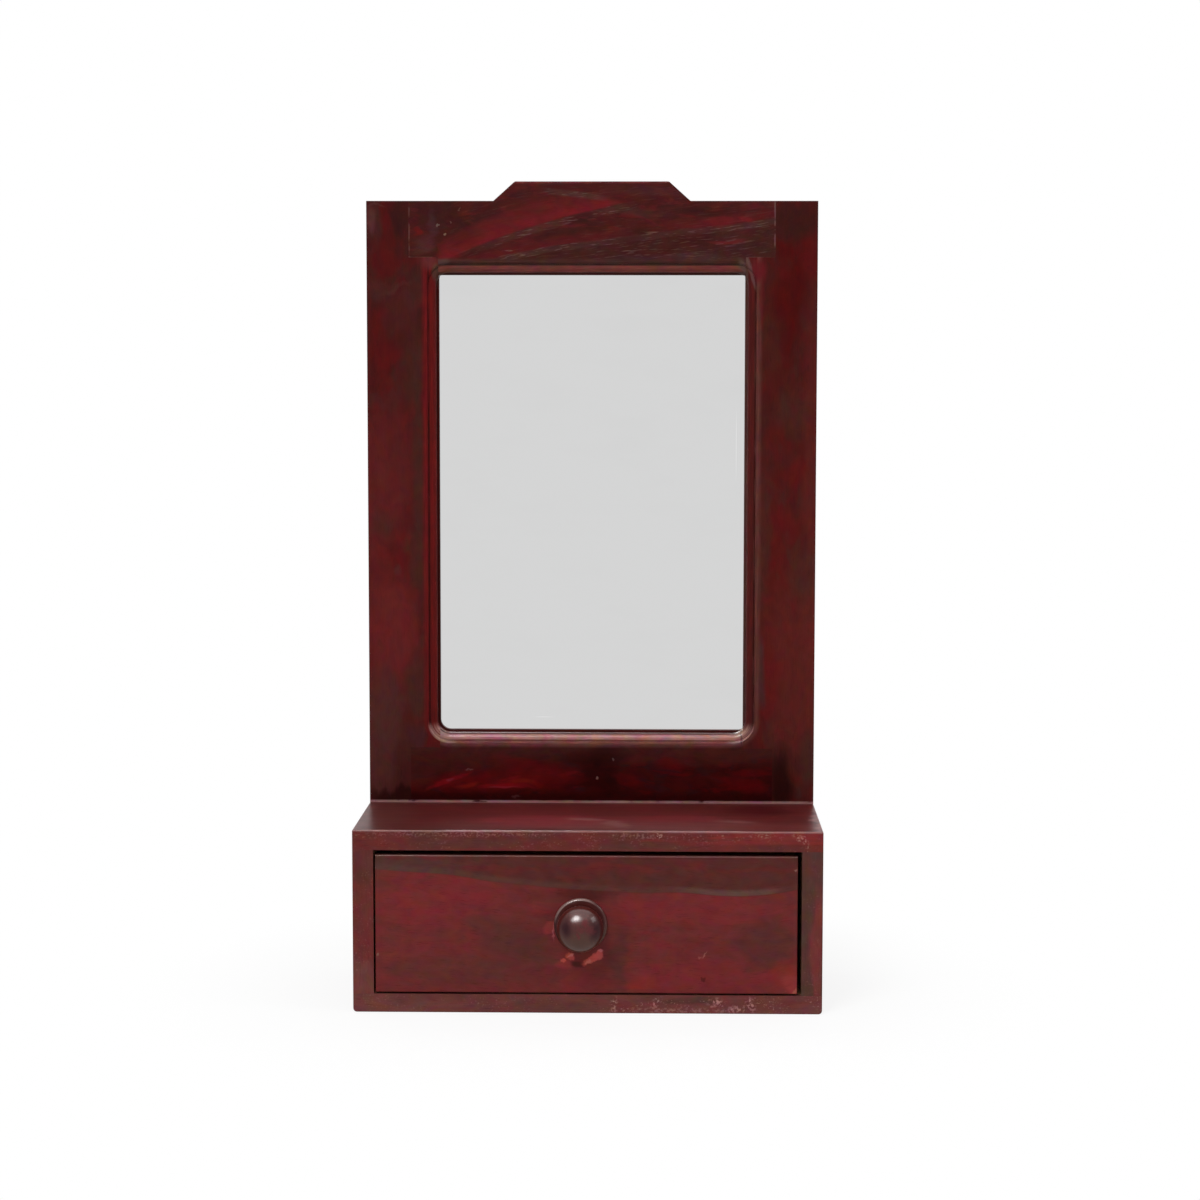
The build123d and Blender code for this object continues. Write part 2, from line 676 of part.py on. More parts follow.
# Thin case back, flush in its rabbet
with BuildPart() as case_back:
    back_half = CASE_INNER_HALF + CASE_BACK_LAP - CASE_BACK_CLEARANCE
    block(
        (-back_half, back_half),
        (CASE_BACK_FRONT, CASE_REAR),
        (
            CASE_FLOOR - CASE_BACK_LAP + CASE_BACK_CLEARANCE,
            CASE_CEILING + CASE_BACK_LAP - CASE_BACK_CLEARANCE,
        ),
    )
    place(case_back_pin_hole, case_back_pin_places, Mode.SUBTRACT)
save(case_back, "case_back")

# Pins through the case back into the top and bottom boards
with BuildPart() as case_back_pins:
    place(case_back_pin, case_back_pin_places)
save(case_back_pins, "case_back_pins")


def drawer_span(inset):
    """Range across the drawer, taken in by the inset at both ends."""
    return (DRAWER_X - DRAWER_HALF + inset, DRAWER_X + DRAWER_HALF - inset)


def cut_panel_groove():
    """Groove for the drawer bottom, open at the rear."""
    block(
        drawer_span(DRAWER_SIDE_THICKNESS - GROOVE_DEPTH - GROOVE_CLEARANCE),
        (DRAWER_FRONT_REAR - GROOVE_DEPTH - GROOVE_CLEARANCE, DRAWER_REAR),
        (PANEL_BOTTOM, PANEL_TOP + GROOVE_CLEARANCE),
        mode=Mode.SUBTRACT,
    )


# Drawer front, rebated at both ends so that it covers the ends of the drawer sides
with BuildPart() as drawer_front:
    block(
        drawer_span(0),
        (CASE_FRONT, DRAWER_FRONT_REAR),
        (DRAWER_FRONT_BOTTOM, DRAWER_FRONT_TOP),
    )
    fillet(drawer_front.faces().sort_by(Axis.Y)[0].edges(), DRAWER_FRONT_ARRIS)
    for left, right in (
        (DRAWER_X - DRAWER_HALF, DRAWER_X - DRAWER_HALF + DRAWER_SIDE_THICKNESS),
        (DRAWER_X + DRAWER_HALF - DRAWER_SIDE_THICKNESS, DRAWER_X + DRAWER_HALF),
    ):
        block(
            (left, right),
            (DRAWER_SIDE_FRONT, DRAWER_FRONT_REAR),
            (DRAWER_FRONT_BOTTOM, DRAWER_FRONT_TOP),
            mode=Mode.SUBTRACT,
        )
    cut_panel_groove()
    place(drawer_pin_hole, drawer_side_pin_places, Mode.SUBTRACT)
    place(
        straight_hole(DRAWER_FRONT_THICKNESS, KNOB_SCREW_SHANK + HOLE_CLEARANCE),
        [drive((KNOB_X, CASE_FRONT, KNOB_Z), (0, 1, 0))],
        Mode.SUBTRACT,
    )
save(drawer_front, "drawer_front")


def build_drawer_side(side):
    """One drawer side, which slides on the case bottom."""
    outer_x = DRAWER_X + side * DRAWER_HALF
    with BuildPart() as board:
        block(
            sorted((outer_x - side * DRAWER_SIDE_THICKNESS, outer_x)),
            (DRAWER_SIDE_FRONT, DRAWER_REAR),
            (DRAWER_SIDE_BOTTOM, DRAWER_SIDE_TOP),
        )
        cut_panel_groove()
        place(drawer_pin_hole, drawer_side_pin_places, Mode.SUBTRACT)
    return board


drawer_left_side = build_drawer_side(-1)
save(drawer_left_side, "drawer_left_side")

drawer_right_side = build_drawer_side(1)
save(drawer_right_side, "drawer_right_side")

# Drawer back, standing on the rear of the drawer bottom
with BuildPart() as drawer_back:
    block(
        drawer_span(DRAWER_SIDE_THICKNESS),
        (DRAWER_BACK_FRONT, DRAWER_REAR),
        (PANEL_TOP, DRAWER_BACK_TOP),
    )
    place(drawer_pin_hole, drawer_side_pin_places, Mode.SUBTRACT)
    place(drawer_pin_hole, panel_pin_places, Mode.SUBTRACT)
save(drawer_back, "drawer_back")

# Thin drawer bottom
with BuildPart() as drawer_bottom:
    block(
        drawer_span(DRAWER_SIDE_THICKNESS - GROOVE_DEPTH),
        (DRAWER_FRONT_REAR - GROOVE_DEPTH, DRAWER_REAR),
        (PANEL_BOTTOM, PANEL_TOP),
    )
    place(drawer_pin_hole, panel_pin_places, Mode.SUBTRACT)
save(drawer_bottom, "drawer_bottom")

# Pins of the drawer joints
with BuildPart() as drawer_pins:
    place(drawer_pin, drawer_side_pin_places + panel_pin_places)
save(drawer_pins, "drawer_pins")

# Turned knob: a thin flange, a short neck and a flattened ball, bored from behind for its screw
with BuildPart() as drawer_knob:
    knob_plane = Plane(
        origin=(KNOB_X, CASE_FRONT, KNOB_Z), x_dir=(1, 0, 0), z_dir=(0, 0, -1)
    )
    # The ball's outline is a tight arc round its widest line that runs smoothly into a flatter dome
    shoulder_x = KNOB_BALL_RADIUS - KNOB_SHOULDER_RADIUS
    dome_radius = (shoulder_x**2 + KNOB_DOME_RISE**2 - KNOB_SHOULDER_RADIUS**2) / (
        2 * (KNOB_DOME_RISE - KNOB_SHOULDER_RADIUS)
    )
    dome_out = KNOB_BALL_OUT + KNOB_DOME_RISE - dome_radius
    join_angle = math.degrees(math.atan2(KNOB_BALL_OUT - dome_out, shoulder_x))
    neck_angle = math.degrees(math.acos((KNOB_NECK_RADIUS - shoulder_x) / KNOB_SHOULDER_RADIUS))
    bore_radius = KNOB_SCREW_SHANK + HOLE_CLEARANCE
    with BuildSketch(knob_plane) as knob_profile:
        with BuildLine():
            shoulder = CenterArc(
                (shoulder_x, KNOB_BALL_OUT),
                KNOB_SHOULDER_RADIUS,
                -neck_angle,
                neck_angle + join_angle,
            )
            dome = CenterArc((0, dome_out), dome_radius, join_angle, 90 - join_angle)
            Polyline(
                dome @ 1,
                (0, KNOB_SCREW_REACH),
                (bore_radius, KNOB_SCREW_REACH),
                (bore_radius, 0),
                (KNOB_FLANGE_RADIUS, 0),
                (KNOB_FLANGE_RADIUS, KNOB_FLANGE_THICKNESS),
                (KNOB_NECK_RADIUS, KNOB_FLANGE_THICKNESS),
                shoulder @ 0,
            )
        make_face()
        rim = knob_profile.vertices().group_by(Axis.X)[-1].sort_by(Axis.Y)[-1]
        fillet(rim, KNOB_FLANGE_THICKNESS * RIM_ROUNDING)
    revolve(axis=Axis((KNOB_X, CASE_FRONT, KNOB_Z), (0, -1, 0)))
save(drawer_knob, "drawer_knob")

# Round-headed screw from inside the drawer into the knob
with BuildPart() as knob_screw:
    with Locations(drive((KNOB_X, DRAWER_FRONT_REAR, KNOB_Z), (0, -1, 0))):
        Cylinder(
            KNOB_SCREW_SHANK,
            DRAWER_FRONT_THICKNESS + KNOB_SCREW_REACH - HOLE_CLEARANCE,
            align=(Align.CENTER, Align.CENTER, Align.MIN),
        )
    with Locations(drive((KNOB_X, DRAWER_FRONT_REAR, KNOB_Z), (0, 1, 0))):
        Cylinder(
            KNOB_SCREW_HEAD,
            KNOB_SCREW_HEAD_HEIGHT,
            align=(Align.CENTER, Align.CENTER, Align.MIN),
        )
    head_rim = knob_screw.faces().sort_by(Axis.Y)[-1].edges()
    fillet(head_rim, KNOB_SCREW_HEAD_HEIGHT * RIM_ROUNDING)
    head_top = DRAWER_FRONT_REAR + KNOB_SCREW_HEAD_HEIGHT
    block(
        (KNOB_X - KNOB_SCREW_HEAD, KNOB_X + KNOB_SCREW_HEAD),
        (head_top - SCREW_SLOT_DEPTH, head_top),
        (KNOB_Z - SCREW_SLOT_WIDTH / 2, KNOB_Z + SCREW_SLOT_WIDTH / 2),
        mode=Mode.SUBTRACT,
    )
save(knob_screw, "knob_screw")
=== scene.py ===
import math
from typing import NamedTuple

import bpy
from mathutils import Matrix, Vector

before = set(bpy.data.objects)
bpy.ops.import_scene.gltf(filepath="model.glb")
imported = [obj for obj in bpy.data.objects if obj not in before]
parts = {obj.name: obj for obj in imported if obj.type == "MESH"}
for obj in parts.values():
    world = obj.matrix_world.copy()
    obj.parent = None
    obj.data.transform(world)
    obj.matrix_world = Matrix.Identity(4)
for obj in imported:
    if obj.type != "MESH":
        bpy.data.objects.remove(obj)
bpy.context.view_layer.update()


# ---- Stiles ----------------------------------------------------------------------------------
# The two uprights of the mirror frame are plain hardwood boards with the grain running up them.
# They are stained dark red with a rag, so the colour is cloudy, and lacquered. The moulding round
# the opening is routed after glueing up.

# What the lacquer mirrors from a pale room, which is taken off the stain under it
LACQUER_VEIL = 0.0025


def tone(red, green, blue):
    """Linear colour of a lacquered stain that looks like these screen values, 0 to 255."""
    seen = [value / 255.0 for value in (red, green, blue)]
    light = [v / 12.92 if v <= 0.04045 else ((v + 0.055) / 1.055) ** 2.4 for v in seen]
    return tuple(max(value - LACQUER_VEIL, 0.0004) for value in light)


NEARLY_BLACK = tone(36, 14, 13)
DEEP_BROWN = tone(58, 26, 24)
STAIN_BROWN = tone(66, 27, 25)
STAIN_RED = tone(72, 24, 23)
WARM_RED = tone(82, 27, 27)
CRIMSON = tone(88, 21, 22)
DULL_BROWN = tone(72, 38, 36)
OLIVE_BROWN = tone(64, 36, 31)
WASHED_RED = tone(92, 32, 32)
SOFT_RED = tone(86, 31, 31)
DEEP_RED = tone(74, 15, 15)
HOLLOW_RED = tone(64, 16, 16)
RUST_BROWN = tone(84, 32, 29)
GREY_BROWN = tone(64, 38, 38)
PURPLE_BROWN = tone(60, 34, 36)
WORN_PINK = tone(104, 66, 62)
WORN_ROSE = tone(108, 60, 62)
SEAM_DUST = tone(100, 68, 64)
PORE_DARK = tone(38, 16, 15)
CORNER_BROWN = tone(84, 36, 36)
CORNER_OLIVE = tone(70, 50, 42)
CORNER_CRIMSON = tone(84, 24, 28)
CORNER_ROSE = tone(92, 62, 59)
CORNER_REFLECTION = tone(138, 100, 95)
FOOT_DUST = tone(134, 98, 96)

# Opening of the frame and the case under it, in millimetres, and how far out from the opening
# the parts of its moulding end
SIGHT_HALF_WIDTH = 104.0
SIGHT_HALF_HEIGHT = 155.5
SIGHT_MIDDLE = 325.0
SIGHT_CORNER = 7.0
LIP_END = 1.7
OVOLO_END = 6.4
QUIRK_MIDDLE = 6.8
STEP_END = 9.8
FRAME_FRONT = 46.0
CASE_HEIGHT = 120.0

# The axis that the grain of a board runs along
ACROSS, DEEP, UP = 0, 1, 2

# Run and width of the stain's clouds and streaks and of the wood's fibres and pores
CLOUD_SIZE = (60.0, 22.0)
STREAK_SIZE = (70.0, 5.0)
FIBRE_SIZE = (15.0, 0.8)
PORE_SIZE = (7.0, 0.5)
MOTTLE_SIZE = (9.0, 6.0)

# Half a size that is larger than any board, for marks that go right through one
THROUGH = 1e4


class Mark(NamedTuple):
    """A painted mark: where its middle is, its half sizes, how strongly it covers, and how far
    it is turned, in degrees. On the front of a board, up is z, and on its upper face y."""

    across: float
    up: float
    half_width: float
    half_height: float
    strength: float
    turn: float = 0.0


def arithmetic(operation, turned=False):
    """An operator of Field that adds a Math node. Turned, the field is its second value."""

    def apply(self, other):
        first, second = (other, self) if turned else (self, other)
        return self.calculate(operation, first, second)

    return apply


class Field:
    """A number that varies over a surface: a shader socket on which + - * / and ** work."""

    def __init__(self, finish, socket):
        self.finish = finish
        self.socket = socket

    def calculate(self, operation, first, second):
        made = self.finish.node("ShaderNodeMath", {"operation": operation}, {0: first, 1: second})
        return Field(self.finish, made.outputs[0])

    __add__ = arithmetic("ADD")
    __radd__ = arithmetic("ADD", turned=True)
    __sub__ = arithmetic("SUBTRACT")
    __rsub__ = arithmetic("SUBTRACT", turned=True)
    __mul__ = arithmetic("MULTIPLY")
    __rmul__ = arithmetic("MULTIPLY", turned=True)
    __truediv__ = arithmetic("DIVIDE")
    __pow__ = arithmetic("POWER")
    least = arithmetic("MAXIMUM")

    def __abs__(self):
        return self.calculate("ABSOLUTE", self, 0.0)


class Finish:
    """One finish of the object: a material, and the node calls that build it up. Its place is the
    position on the piece in millimetres."""

    def __init__(self, name):
        self.material = bpy.data.materials.new(name)
        self.material.use_nodes = True
        self.tree = self.material.node_tree
        self.tree.nodes.clear()
        self.place = self.shade(self.field("ShaderNodeTexCoord", {}, {}, "Object"), 1000.0)

    def node(self, kind, settings, inputs):
        """Adds a node. Its settings come first, then a value or a link for each socket."""
        made = self.tree.nodes.new(kind)
        for name, value in settings.items():
            if name == "curve":
                line = made.mapping.curves[0].points
                line[0].location, line[1].location = value[0], value[-1]
                for place in value[1:-1]:
                    line.new(*place)
                made.mapping.update()
            else:
                setattr(made, name, value)
        named = {socket.identifier: socket for socket in made.inputs}
        for name, value in inputs.items():
            socket = made.inputs[name] if isinstance(name, int) else named[name]
            if isinstance(value, Field):
                self.tree.links.new(value.socket, socket)
            elif socket.type == "RGBA":
                socket.default_value = (*value, 1.0)
            else:
                socket.default_value = value
        return made

    def field(self, kind, settings, inputs, output=0):
        """Adds a node and gives one of its outputs."""
        return Field(self, self.node(kind, settings, inputs).outputs[output])

    def vector(self, operation, inputs, output=0):
        """One step of arithmetic on vectors or colours."""
        return self.field("ShaderNodeVectorMath", {"operation": operation}, inputs, output)

    def combine(self, x, y, z):
        """A vector of three values."""
        return self.field("ShaderNodeCombineXYZ", {}, {0: x, 1: y, 2: z})

    def axes(self, vector):
        """The three coordinates of a vector."""
        split = self.node("ShaderNodeSeparateXYZ", {}, {0: vector})
        return [Field(self, socket) for socket in split.outputs]

    def noise(self, vector, size, seed, detail=2.0, output=0):
        """Cloudy noise from 0 to 1. Its lumps are the given size along each axis."""
        placed = self.field(
            "ShaderNodeMapping",
            {"vector_type": "POINT"},
            {
                "Vector": vector,
                "Location": (seed, 0.7 * seed, 1.3 * seed),
                "Scale": [1.0 / length for length in size],
            },
        )
        return self.field(
            "ShaderNodeTexNoise",
            {"noise_dimensions": "3D"},
            {"Vector": placed, "Scale": 1.0, "Detail": detail},
            output,
        )

    def step(self, value, low, high):
        """0 at low, 1 at high, and a smooth rise between them."""
        return self.field(
            "ShaderNodeMapRange",
            {"interpolation_type": "SMOOTHSTEP"},
            {"Value": value, "From Min": low, "From Max": high},
        )

    def strip(self, value, start, full, fading, end):
        """1 from full to fading, with smooth falls to 0 at start and at end."""
        return self.step(value, start, full) * self.step(value, end, fading)

    def line(self, value, middle, edge, core):
        """1 within core of the middle, falling to 0 where it is edge away."""
        return self.step(abs(value - middle), edge, core)

    def blend(self, share, first, second):
        """The first colour where share is 0 and the second where it is 1."""
        made = self.node(
            "ShaderNodeMix",
            {"data_type": "RGBA"},
            {"Factor_Float": share, "A_Color": first, "B_Color": second},
        )
        return Field(self, [out for out in made.outputs if out.identifier == "Result_Color"][0])

    def shade(self, colour, strength):
        """The colour, or any vector, times a number."""
        return self.vector("SCALE", {0: colour, "Scale": strength})

    def curve(self, value, start, end, *heights):
        """A height in millimetres, read from evenly spaced heights of a line from start to end."""
        places = [(i / (len(heights) - 1), high / 1000.0) for i, high in enumerate(heights)]
        share = (value - start) / (end - start)
        return 1000.0 * self.field("ShaderNodeFloatCurve", {"curve": places}, {"Value": share})

    def spot(self, vector, centre, reach, turn=(0.0, 0.0, 0.0), soft=0.5):
        """1 inside an ellipsoid of the given half sizes, falling softly to 0 outside it."""
        placed = self.field(
            "ShaderNodeMapping",
            {"vector_type": "TEXTURE"},
            {"Vector": vector, "Location": centre, "Rotation": turn, "Scale": reach},
        )
        length = self.vector("LENGTH", {0: placed}, "Value")
        return self.step(length, 1.0 + soft, 1.0 - soft)

    def finish(self, sockets, height=None):
        """Joins the shader to the output. Height is the relief of the surface in millimetres."""
        if height is not None:
            relief = {"Strength": 1.0, "Distance": 0.001, "Height": height}
            sockets = {**sockets, "Normal": self.field("ShaderNodeBump", {}, relief)}
        shader = self.field("ShaderNodeBsdfPrincipled", {}, sockets)
        self.node("ShaderNodeOutputMaterial", {}, {0: shader})

    def put_on(self, *names):
        """Puts the finish on CAD nodes, in the place of what they came with."""
        for name in names:
            slots = parts[name].data.materials
            slots.clear()
            slots.append(self.material)


class StainedBoard(Finish):
    """Hardwood under dark red stain and lacquer: clouds of stain, streaks and fibres along the
    grain, and short dark pores. Marks that are special to one board are painted over them."""

    def __init__(self, name, grain, seed, dark, middle, bright, bend=None):
        super().__init__(name)
        self.grain = grain
        self.seed = seed
        self.x, self.y, self.z = self.axes(self.place)
        flow = self.place
        if bend is not None:
            self.level = self.z - self.curve(self.x, *bend)
            flow = self.combine(self.x, self.y, self.level)
        self.flow = flow
        self.loose = self.warp(self.along(40.0, 14.0), self.along(26.0, 12.0), 3.0, 3.0)
        self.ragged = self.warp((2.6, 2.6, 2.6), (4.0, 4.0, 4.0), 5.0, 3.0)
        self.clouds = self.noise(flow, self.along(*CLOUD_SIZE), seed, detail=4.0)
        self.streaks = self.noise(flow, self.along(*STREAK_SIZE), seed + 11.0, detail=3.0)
        self.fibres = self.noise(flow, self.along(*FIBRE_SIZE), seed + 23.0)
        pits = self.noise(flow, self.along(*PORE_SIZE), seed + 31.0, detail=1.0)
        self.pores = self.step(pits, 0.62, 0.74)
        self.colour = self.blend(self.step(self.clouds, 0.36, 0.62), dark, middle)
        self.colour = self.blend(0.6 * self.step(self.streaks, 0.48, 0.74), self.colour, bright)
        self.plain = self.colour
        self.relief = 0.010 * self.fibres + 0.05 * self.clouds - 0.02 * self.pores
        self.shine = 0.0

    def warp(self, size, reach, seed, detail):
        """The place pushed about by noise of the given lump size, by up to half the reach."""
        wander = self.noise(self.place, size, self.seed + seed, detail, output=1)
        pushed = self.vector("MULTIPLY_ADD", {0: wander, 1: reach, 2: self.place})
        return self.vector("SUBTRACT", {0: pushed, 1: [0.5 * length for length in reach]})

    def along(self, run, width):
        """Sizes of a mark that runs along the grain."""
        sizes = [width, width, width]
        sizes[self.grain] = run
        return sizes

    def paint(self, share, colour):
        """Lays a colour over what is there."""
        self.colour = self.blend(share, self.colour, colour)

    def patch(self, place, numbers, soft=0.5):
        """How far a Mark of these numbers covers the board, through which it goes right down."""
        x, z, wide, high, strength, rise = Mark(*numbers)
        turn = (0.0, -math.radians(rise), 0.0)
        return strength * self.spot(place, (x, 0.0, z), (wide, THROUGH, high), turn, soft)

    def rub(self, colour, *marks):
        """Paints soft Marks on the front."""
        for numbers in marks:
            self.paint(self.patch(self.loose, numbers), colour)

    def chip(self, colour, *marks):
        """Paints small Marks with a ragged outline on the front."""
        for numbers in marks:
            self.paint(self.patch(self.ragged, numbers, soft=0.35), colour)

    def cloud(self, colour, strength, size, seed, low=0.52, high=0.66):
        """Scattered soft patches of a colour, the given size along and across the grain."""
        lumps = self.noise(self.loose, self.along(*size), self.seed + seed, detail=4.0)
        self.paint(strength * self.step(lumps, low, high), colour)

    def mottle(self, strength):
        """Small uneven patches, each a little lighter, darker, redder or browner."""
        sizes = self.along(*MOTTLE_SIZE)
        coarse = self.noise(self.loose, sizes, self.seed + 53.0, detail=5.0, output=1)
        swing = [2.0 * strength, 2.6 * strength, 2.8 * strength]
        base = [1.0 - 0.5 * part for part in swing]
        lightness = self.vector("MULTIPLY_ADD", {0: coarse, 1: swing, 2: base})
        self.colour = self.vector("MULTIPLY", {0: self.colour, 1: lightness})

    def varnish(self, roughness=0.28, contrast=0.20, patchy=0.35):
        """Finishes the board: mottle, fibres and pores in the colour, then the lacquer."""
        self.mottle(patchy)
        fine = 1.0 - 0.5 * contrast + contrast * self.fibres
        self.colour = self.shade(self.colour, fine)
        self.paint(0.25 * self.pores, PORE_DARK)
        self.finish(
            {
                "Base Color": self.colour,
                "Roughness": roughness + 0.10 * self.streaks,
                "Specular IOR Level": 0.04,
                "Coat Weight": self.shine,
                "Coat Roughness": 0.16,
            },
            self.relief,
        )


class FrameBoard(StainedBoard):
    """A board of the mirror frame. The bands of colour on its moulding are read from the distance
    to the opening: they turn the lower corners and run straight on through the upper ones."""

    def __init__(self, name, grain, seed, dark, middle, bright, bend=None):
        super().__init__(name, grain, seed, dark, middle, bright, bend)
        inner_x = (abs(self.x) - (SIGHT_HALF_WIDTH - SIGHT_CORNER)).least(0.0)
        below = (SIGHT_MIDDLE - SIGHT_HALF_HEIGHT + SIGHT_CORNER - self.z).least(0.0)
        self.out = (inner_x * inner_x + below * below) ** 0.5 - SIGHT_CORNER

    def shade_upwards(self, amount):
        """Painted shade: the colour darkens towards the top of the frame, by up to the given
        amount, for the light that falls off upwards.
        """
        self.colour = self.shade(self.colour, 1.0 - amount * self.step(self.z, 200.0, 540.0))

    def mould(self, step, ovolo, lip, quirk, shine, lip_end=LIP_END):
        """Colours of the moulding's rounded step, ovolo, lip and quirk, and the ovolo's gloss.
        Where a board gives pale bands they are painted reflections and highlights, and its dark
        lip and quirk are painted shade. Dirt and rubbing run along the moulding too."""
        along = self.combine(self.x, self.z, self.out)
        rubbed = self.noise(along, (26.0, 26.0, 1.1), self.seed + 71.0, detail=4.0)
        self.paint(self.step(self.out, STEP_END + 2.5, STEP_END - 1.0), step)
        within = self.step(self.out, OVOLO_END + 0.5, OVOLO_END - 0.5)
        self.paint(within, ovolo)
        self.paint(self.step(self.out, lip_end + 0.6, lip_end - 0.4), lip)
        # Painted shade in the quirk's groove, broken up by the rubbing
        groove = self.line(self.out, QUIRK_MIDDLE, 1.0, 0.4)
        self.paint(groove * self.step(rubbed, 0.35, 0.50), quirk)
        moulded = self.step(self.out, STEP_END + 1.5, STEP_END)
        self.colour = self.shade(self.colour, 1.0 + moulded * (1.1 * rubbed - 0.55))
        self.shine = shine * within * self.step(self.out, LIP_END - 0.5, LIP_END + 0.5)
        self.moulding_streaks = rubbed

    def glint(self):
        """Painted reflection: the lower corners of the moulding look up at the light and are
        painted pale, in streaks, and their gloss is raised.
        """
        foot = SIGHT_MIDDLE - SIGHT_HALF_HEIGHT
        corner = self.step(self.z, foot + 6.5, foot - 0.5)
        corner = corner * self.step(abs(self.x), SIGHT_HALF_WIDTH - 14.0, SIGHT_HALF_WIDTH - 1.0)
        corner = corner * self.step(self.out, STEP_END - 0.5, STEP_END - 1.5)
        corner = corner * self.step(self.out, LIP_END - 0.4, LIP_END + 0.4)
        # Painted reflection of the light above, pale where the streaks along the moulding are high
        self.paint(corner * self.step(self.moulding_streaks, 0.30, 0.62), CORNER_REFLECTION)
        self.shine = self.shine + 0.12 * corner

    def varnish(self, **look):
        """The marks are on the front: the back of the frame is plain stain."""
        self.paint(self.step(self.y, FRAME_FRONT + 9.0, FRAME_FRONT + 11.0), self.plain)
        super().varnish(**look)

    def dust(self):
        """Pale dust and rubbed lacquer where the frame stands on the case."""
        specks = self.noise(self.place, (9.0, 9.0, 3.0), self.seed + 83.0, detail=4.0)
        foot = self.step(self.z, CASE_HEIGHT + 1.4 + 0.8 * specks, CASE_HEIGHT + 0.8)
        foot = foot * self.step(self.y, FRAME_FRONT + 1.0, FRAME_FRONT + 0.4)
        self.paint(foot * self.step(specks, 0.22, 0.42), FOOT_DUST)


left_stile = FrameBoard("left_stile_stain", UP, 1.7, STAIN_BROWN, STAIN_RED, WARM_RED)
left_stile.cloud(OLIVE_BROWN, strength=0.6, size=(18.0, 10.0), seed=41.0)
left_stile.cloud(CRIMSON, strength=0.5, size=(15.0, 9.0), seed=43.0)
left_stile.rub(WASHED_RED, (-138, 238, 18, 36, 0.85), (-147, 330, 8, 60, 0.5))
left_stile.rub(SOFT_RED, (-136, 350, 14, 46, 0.7))
left_stile.rub(
    CRIMSON,
    (-138, 430, 9, 8, 0.45),
    (-138, 508, 6, 14, 0.3),
    (-141, 491, 12, 9, 0.5),
    (-146, 446, 5, 8, 0.5),
    (-110, 484, 6.5, 7, 0.5),
)
left_stile.rub(
    DULL_BROWN,
    (-147, 513, 5, 12, 0.7),
    (-145, 470, 10, 9, 0.6),
    (-141, 188, 13, 22, 0.85),
    (-143, 150, 12, 26, 0.7),
    (-119, 468, 9, 12, 0.5),
    (-134, 281, 3, 3.5, 0.7),
    (-130, 455, 12, 12, 0.4),
)
left_stile.rub(
    OLIVE_BROWN,
    (-121, 418, 9, 26, 0.6),
    (-118, 355, 4, 60, 0.6),
    (-119, 292, 5, 26, 0.6),
    (-120, 204, 7, 22, 0.7),
    (-143, 312, 6, 10, 0.5),
    (-128, 484, 7, 6, 0.5),
)
left_stile.rub(PURPLE_BROWN, (-120, 165, 7, 9, 0.6))
left_stile.rub(DEEP_BROWN, (-129, 519, 5.5, 12, 0.9), (-128, 140, 8, 18, 0.7))
left_stile.rub(NEARLY_BLACK, (-133, 123.5, 22, 4.5, 0.85))
left_stile.rub(WORN_PINK, (-146, 526.8, 7, 1, 0.25), (-133, 472, 12, 2, 0.1, 22))
left_stile.rub(WORN_ROSE, (-150, 516, 3, 9, 0.4))
# Painted shade towards the top of the frame
left_stile.shade_upwards(0.30)
# Painted shade on the moulding: the dark lip beside the glass and the dark quirk in its groove
left_stile.mould(
    step=tone(88, 23, 24),
    ovolo=tone(86, 19, 18),
    lip=tone(52, 16, 14),
    quirk=tone(58, 17, 16),
    shine=0.07,
)
left_stile.rub(CORNER_BROWN, (-109.5, 487, 6.5, 5.5, 0.8))
left_stile.rub(CORNER_OLIVE, (-107, 479, 2.8, 5.5, 0.8))
left_stile.glint()
left_stile.dust()
left_stile.varnish()
left_stile.put_on("left_stile")

right_stile = FrameBoard(
    "right_stile_stain",
    UP,
    5.1,
    dark=STAIN_BROWN,
    middle=tone(76, 24, 22),
    bright=tone(81, 23, 22),
)
right_stile.cloud(OLIVE_BROWN, strength=0.5, size=(20.0, 10.0), seed=41.0)
right_stile.cloud(CRIMSON, strength=0.35, size=(15.0, 9.0), seed=43.0)
right_stile.rub(RUST_BROWN, (140, 212, 20, 60, 0.8), (150, 330, 6, 150, 0.7))
right_stile.rub(DEEP_RED, (133, 458, 11, 42, 0.8, -12), (131, 500, 7, 8, 0.7))
right_stile.rub(
    CRIMSON,
    (138, 348, 9, 9, 0.6),
    (122, 205, 6, 22, 0.6),
    (131, 315, 10, 9, 0.5),
    (148, 488, 5, 12, 0.6),
)
right_stile.rub(
    OLIVE_BROWN,
    (117, 300, 5, 50, 0.6),
    (137, 386, 12, 16, 0.6),
    (145, 275, 9, 16, 0.6),
    (122, 432, 8, 22, 0.5),
    (149, 152, 6, 14, 0.8),
)
right_stile.rub(GREY_BROWN, (115, 210, 4, 20, 0.8))
right_stile.rub(DEEP_BROWN, (139, 517, 13, 13, 0.9), (124, 150, 22, 9, 0.7))
right_stile.rub(NEARLY_BLACK, (130, 131, 8, 18, 0.95), (110, 124, 9, 6, 0.7))
# Painted shade towards the top of the frame
right_stile.shade_upwards(0.22)
# Painted light on the moulding: the grey step and lip are painted highlights, and the dark quirk
# is painted shade in its groove
right_stile.mould(
    step=tone(86, 47, 43),
    ovolo=tone(70, 21, 19),
    lip=tone(74, 46, 42),
    quirk=tone(56, 20, 18),
    shine=0.10,
)
right_stile.rub(HOLLOW_RED, (107.6, 448, 1.8, 26, 0.6))
right_stile.rub(CORNER_CRIMSON, (112.4, 485.5, 4, 7.5, 0.9, 10), (115.5, 462, 1.4, 18, 0.5))
right_stile.rub(CORNER_ROSE, (108.8, 482, 1.4, 9.5, 0.8, 21))
right_stile.glint()
right_stile.chip(NEARLY_BLACK, (102.8, 165, 0.6, 4.5, 0.6))
right_stile.dust()
right_stile.varnish()
right_stile.put_on("right_stile")
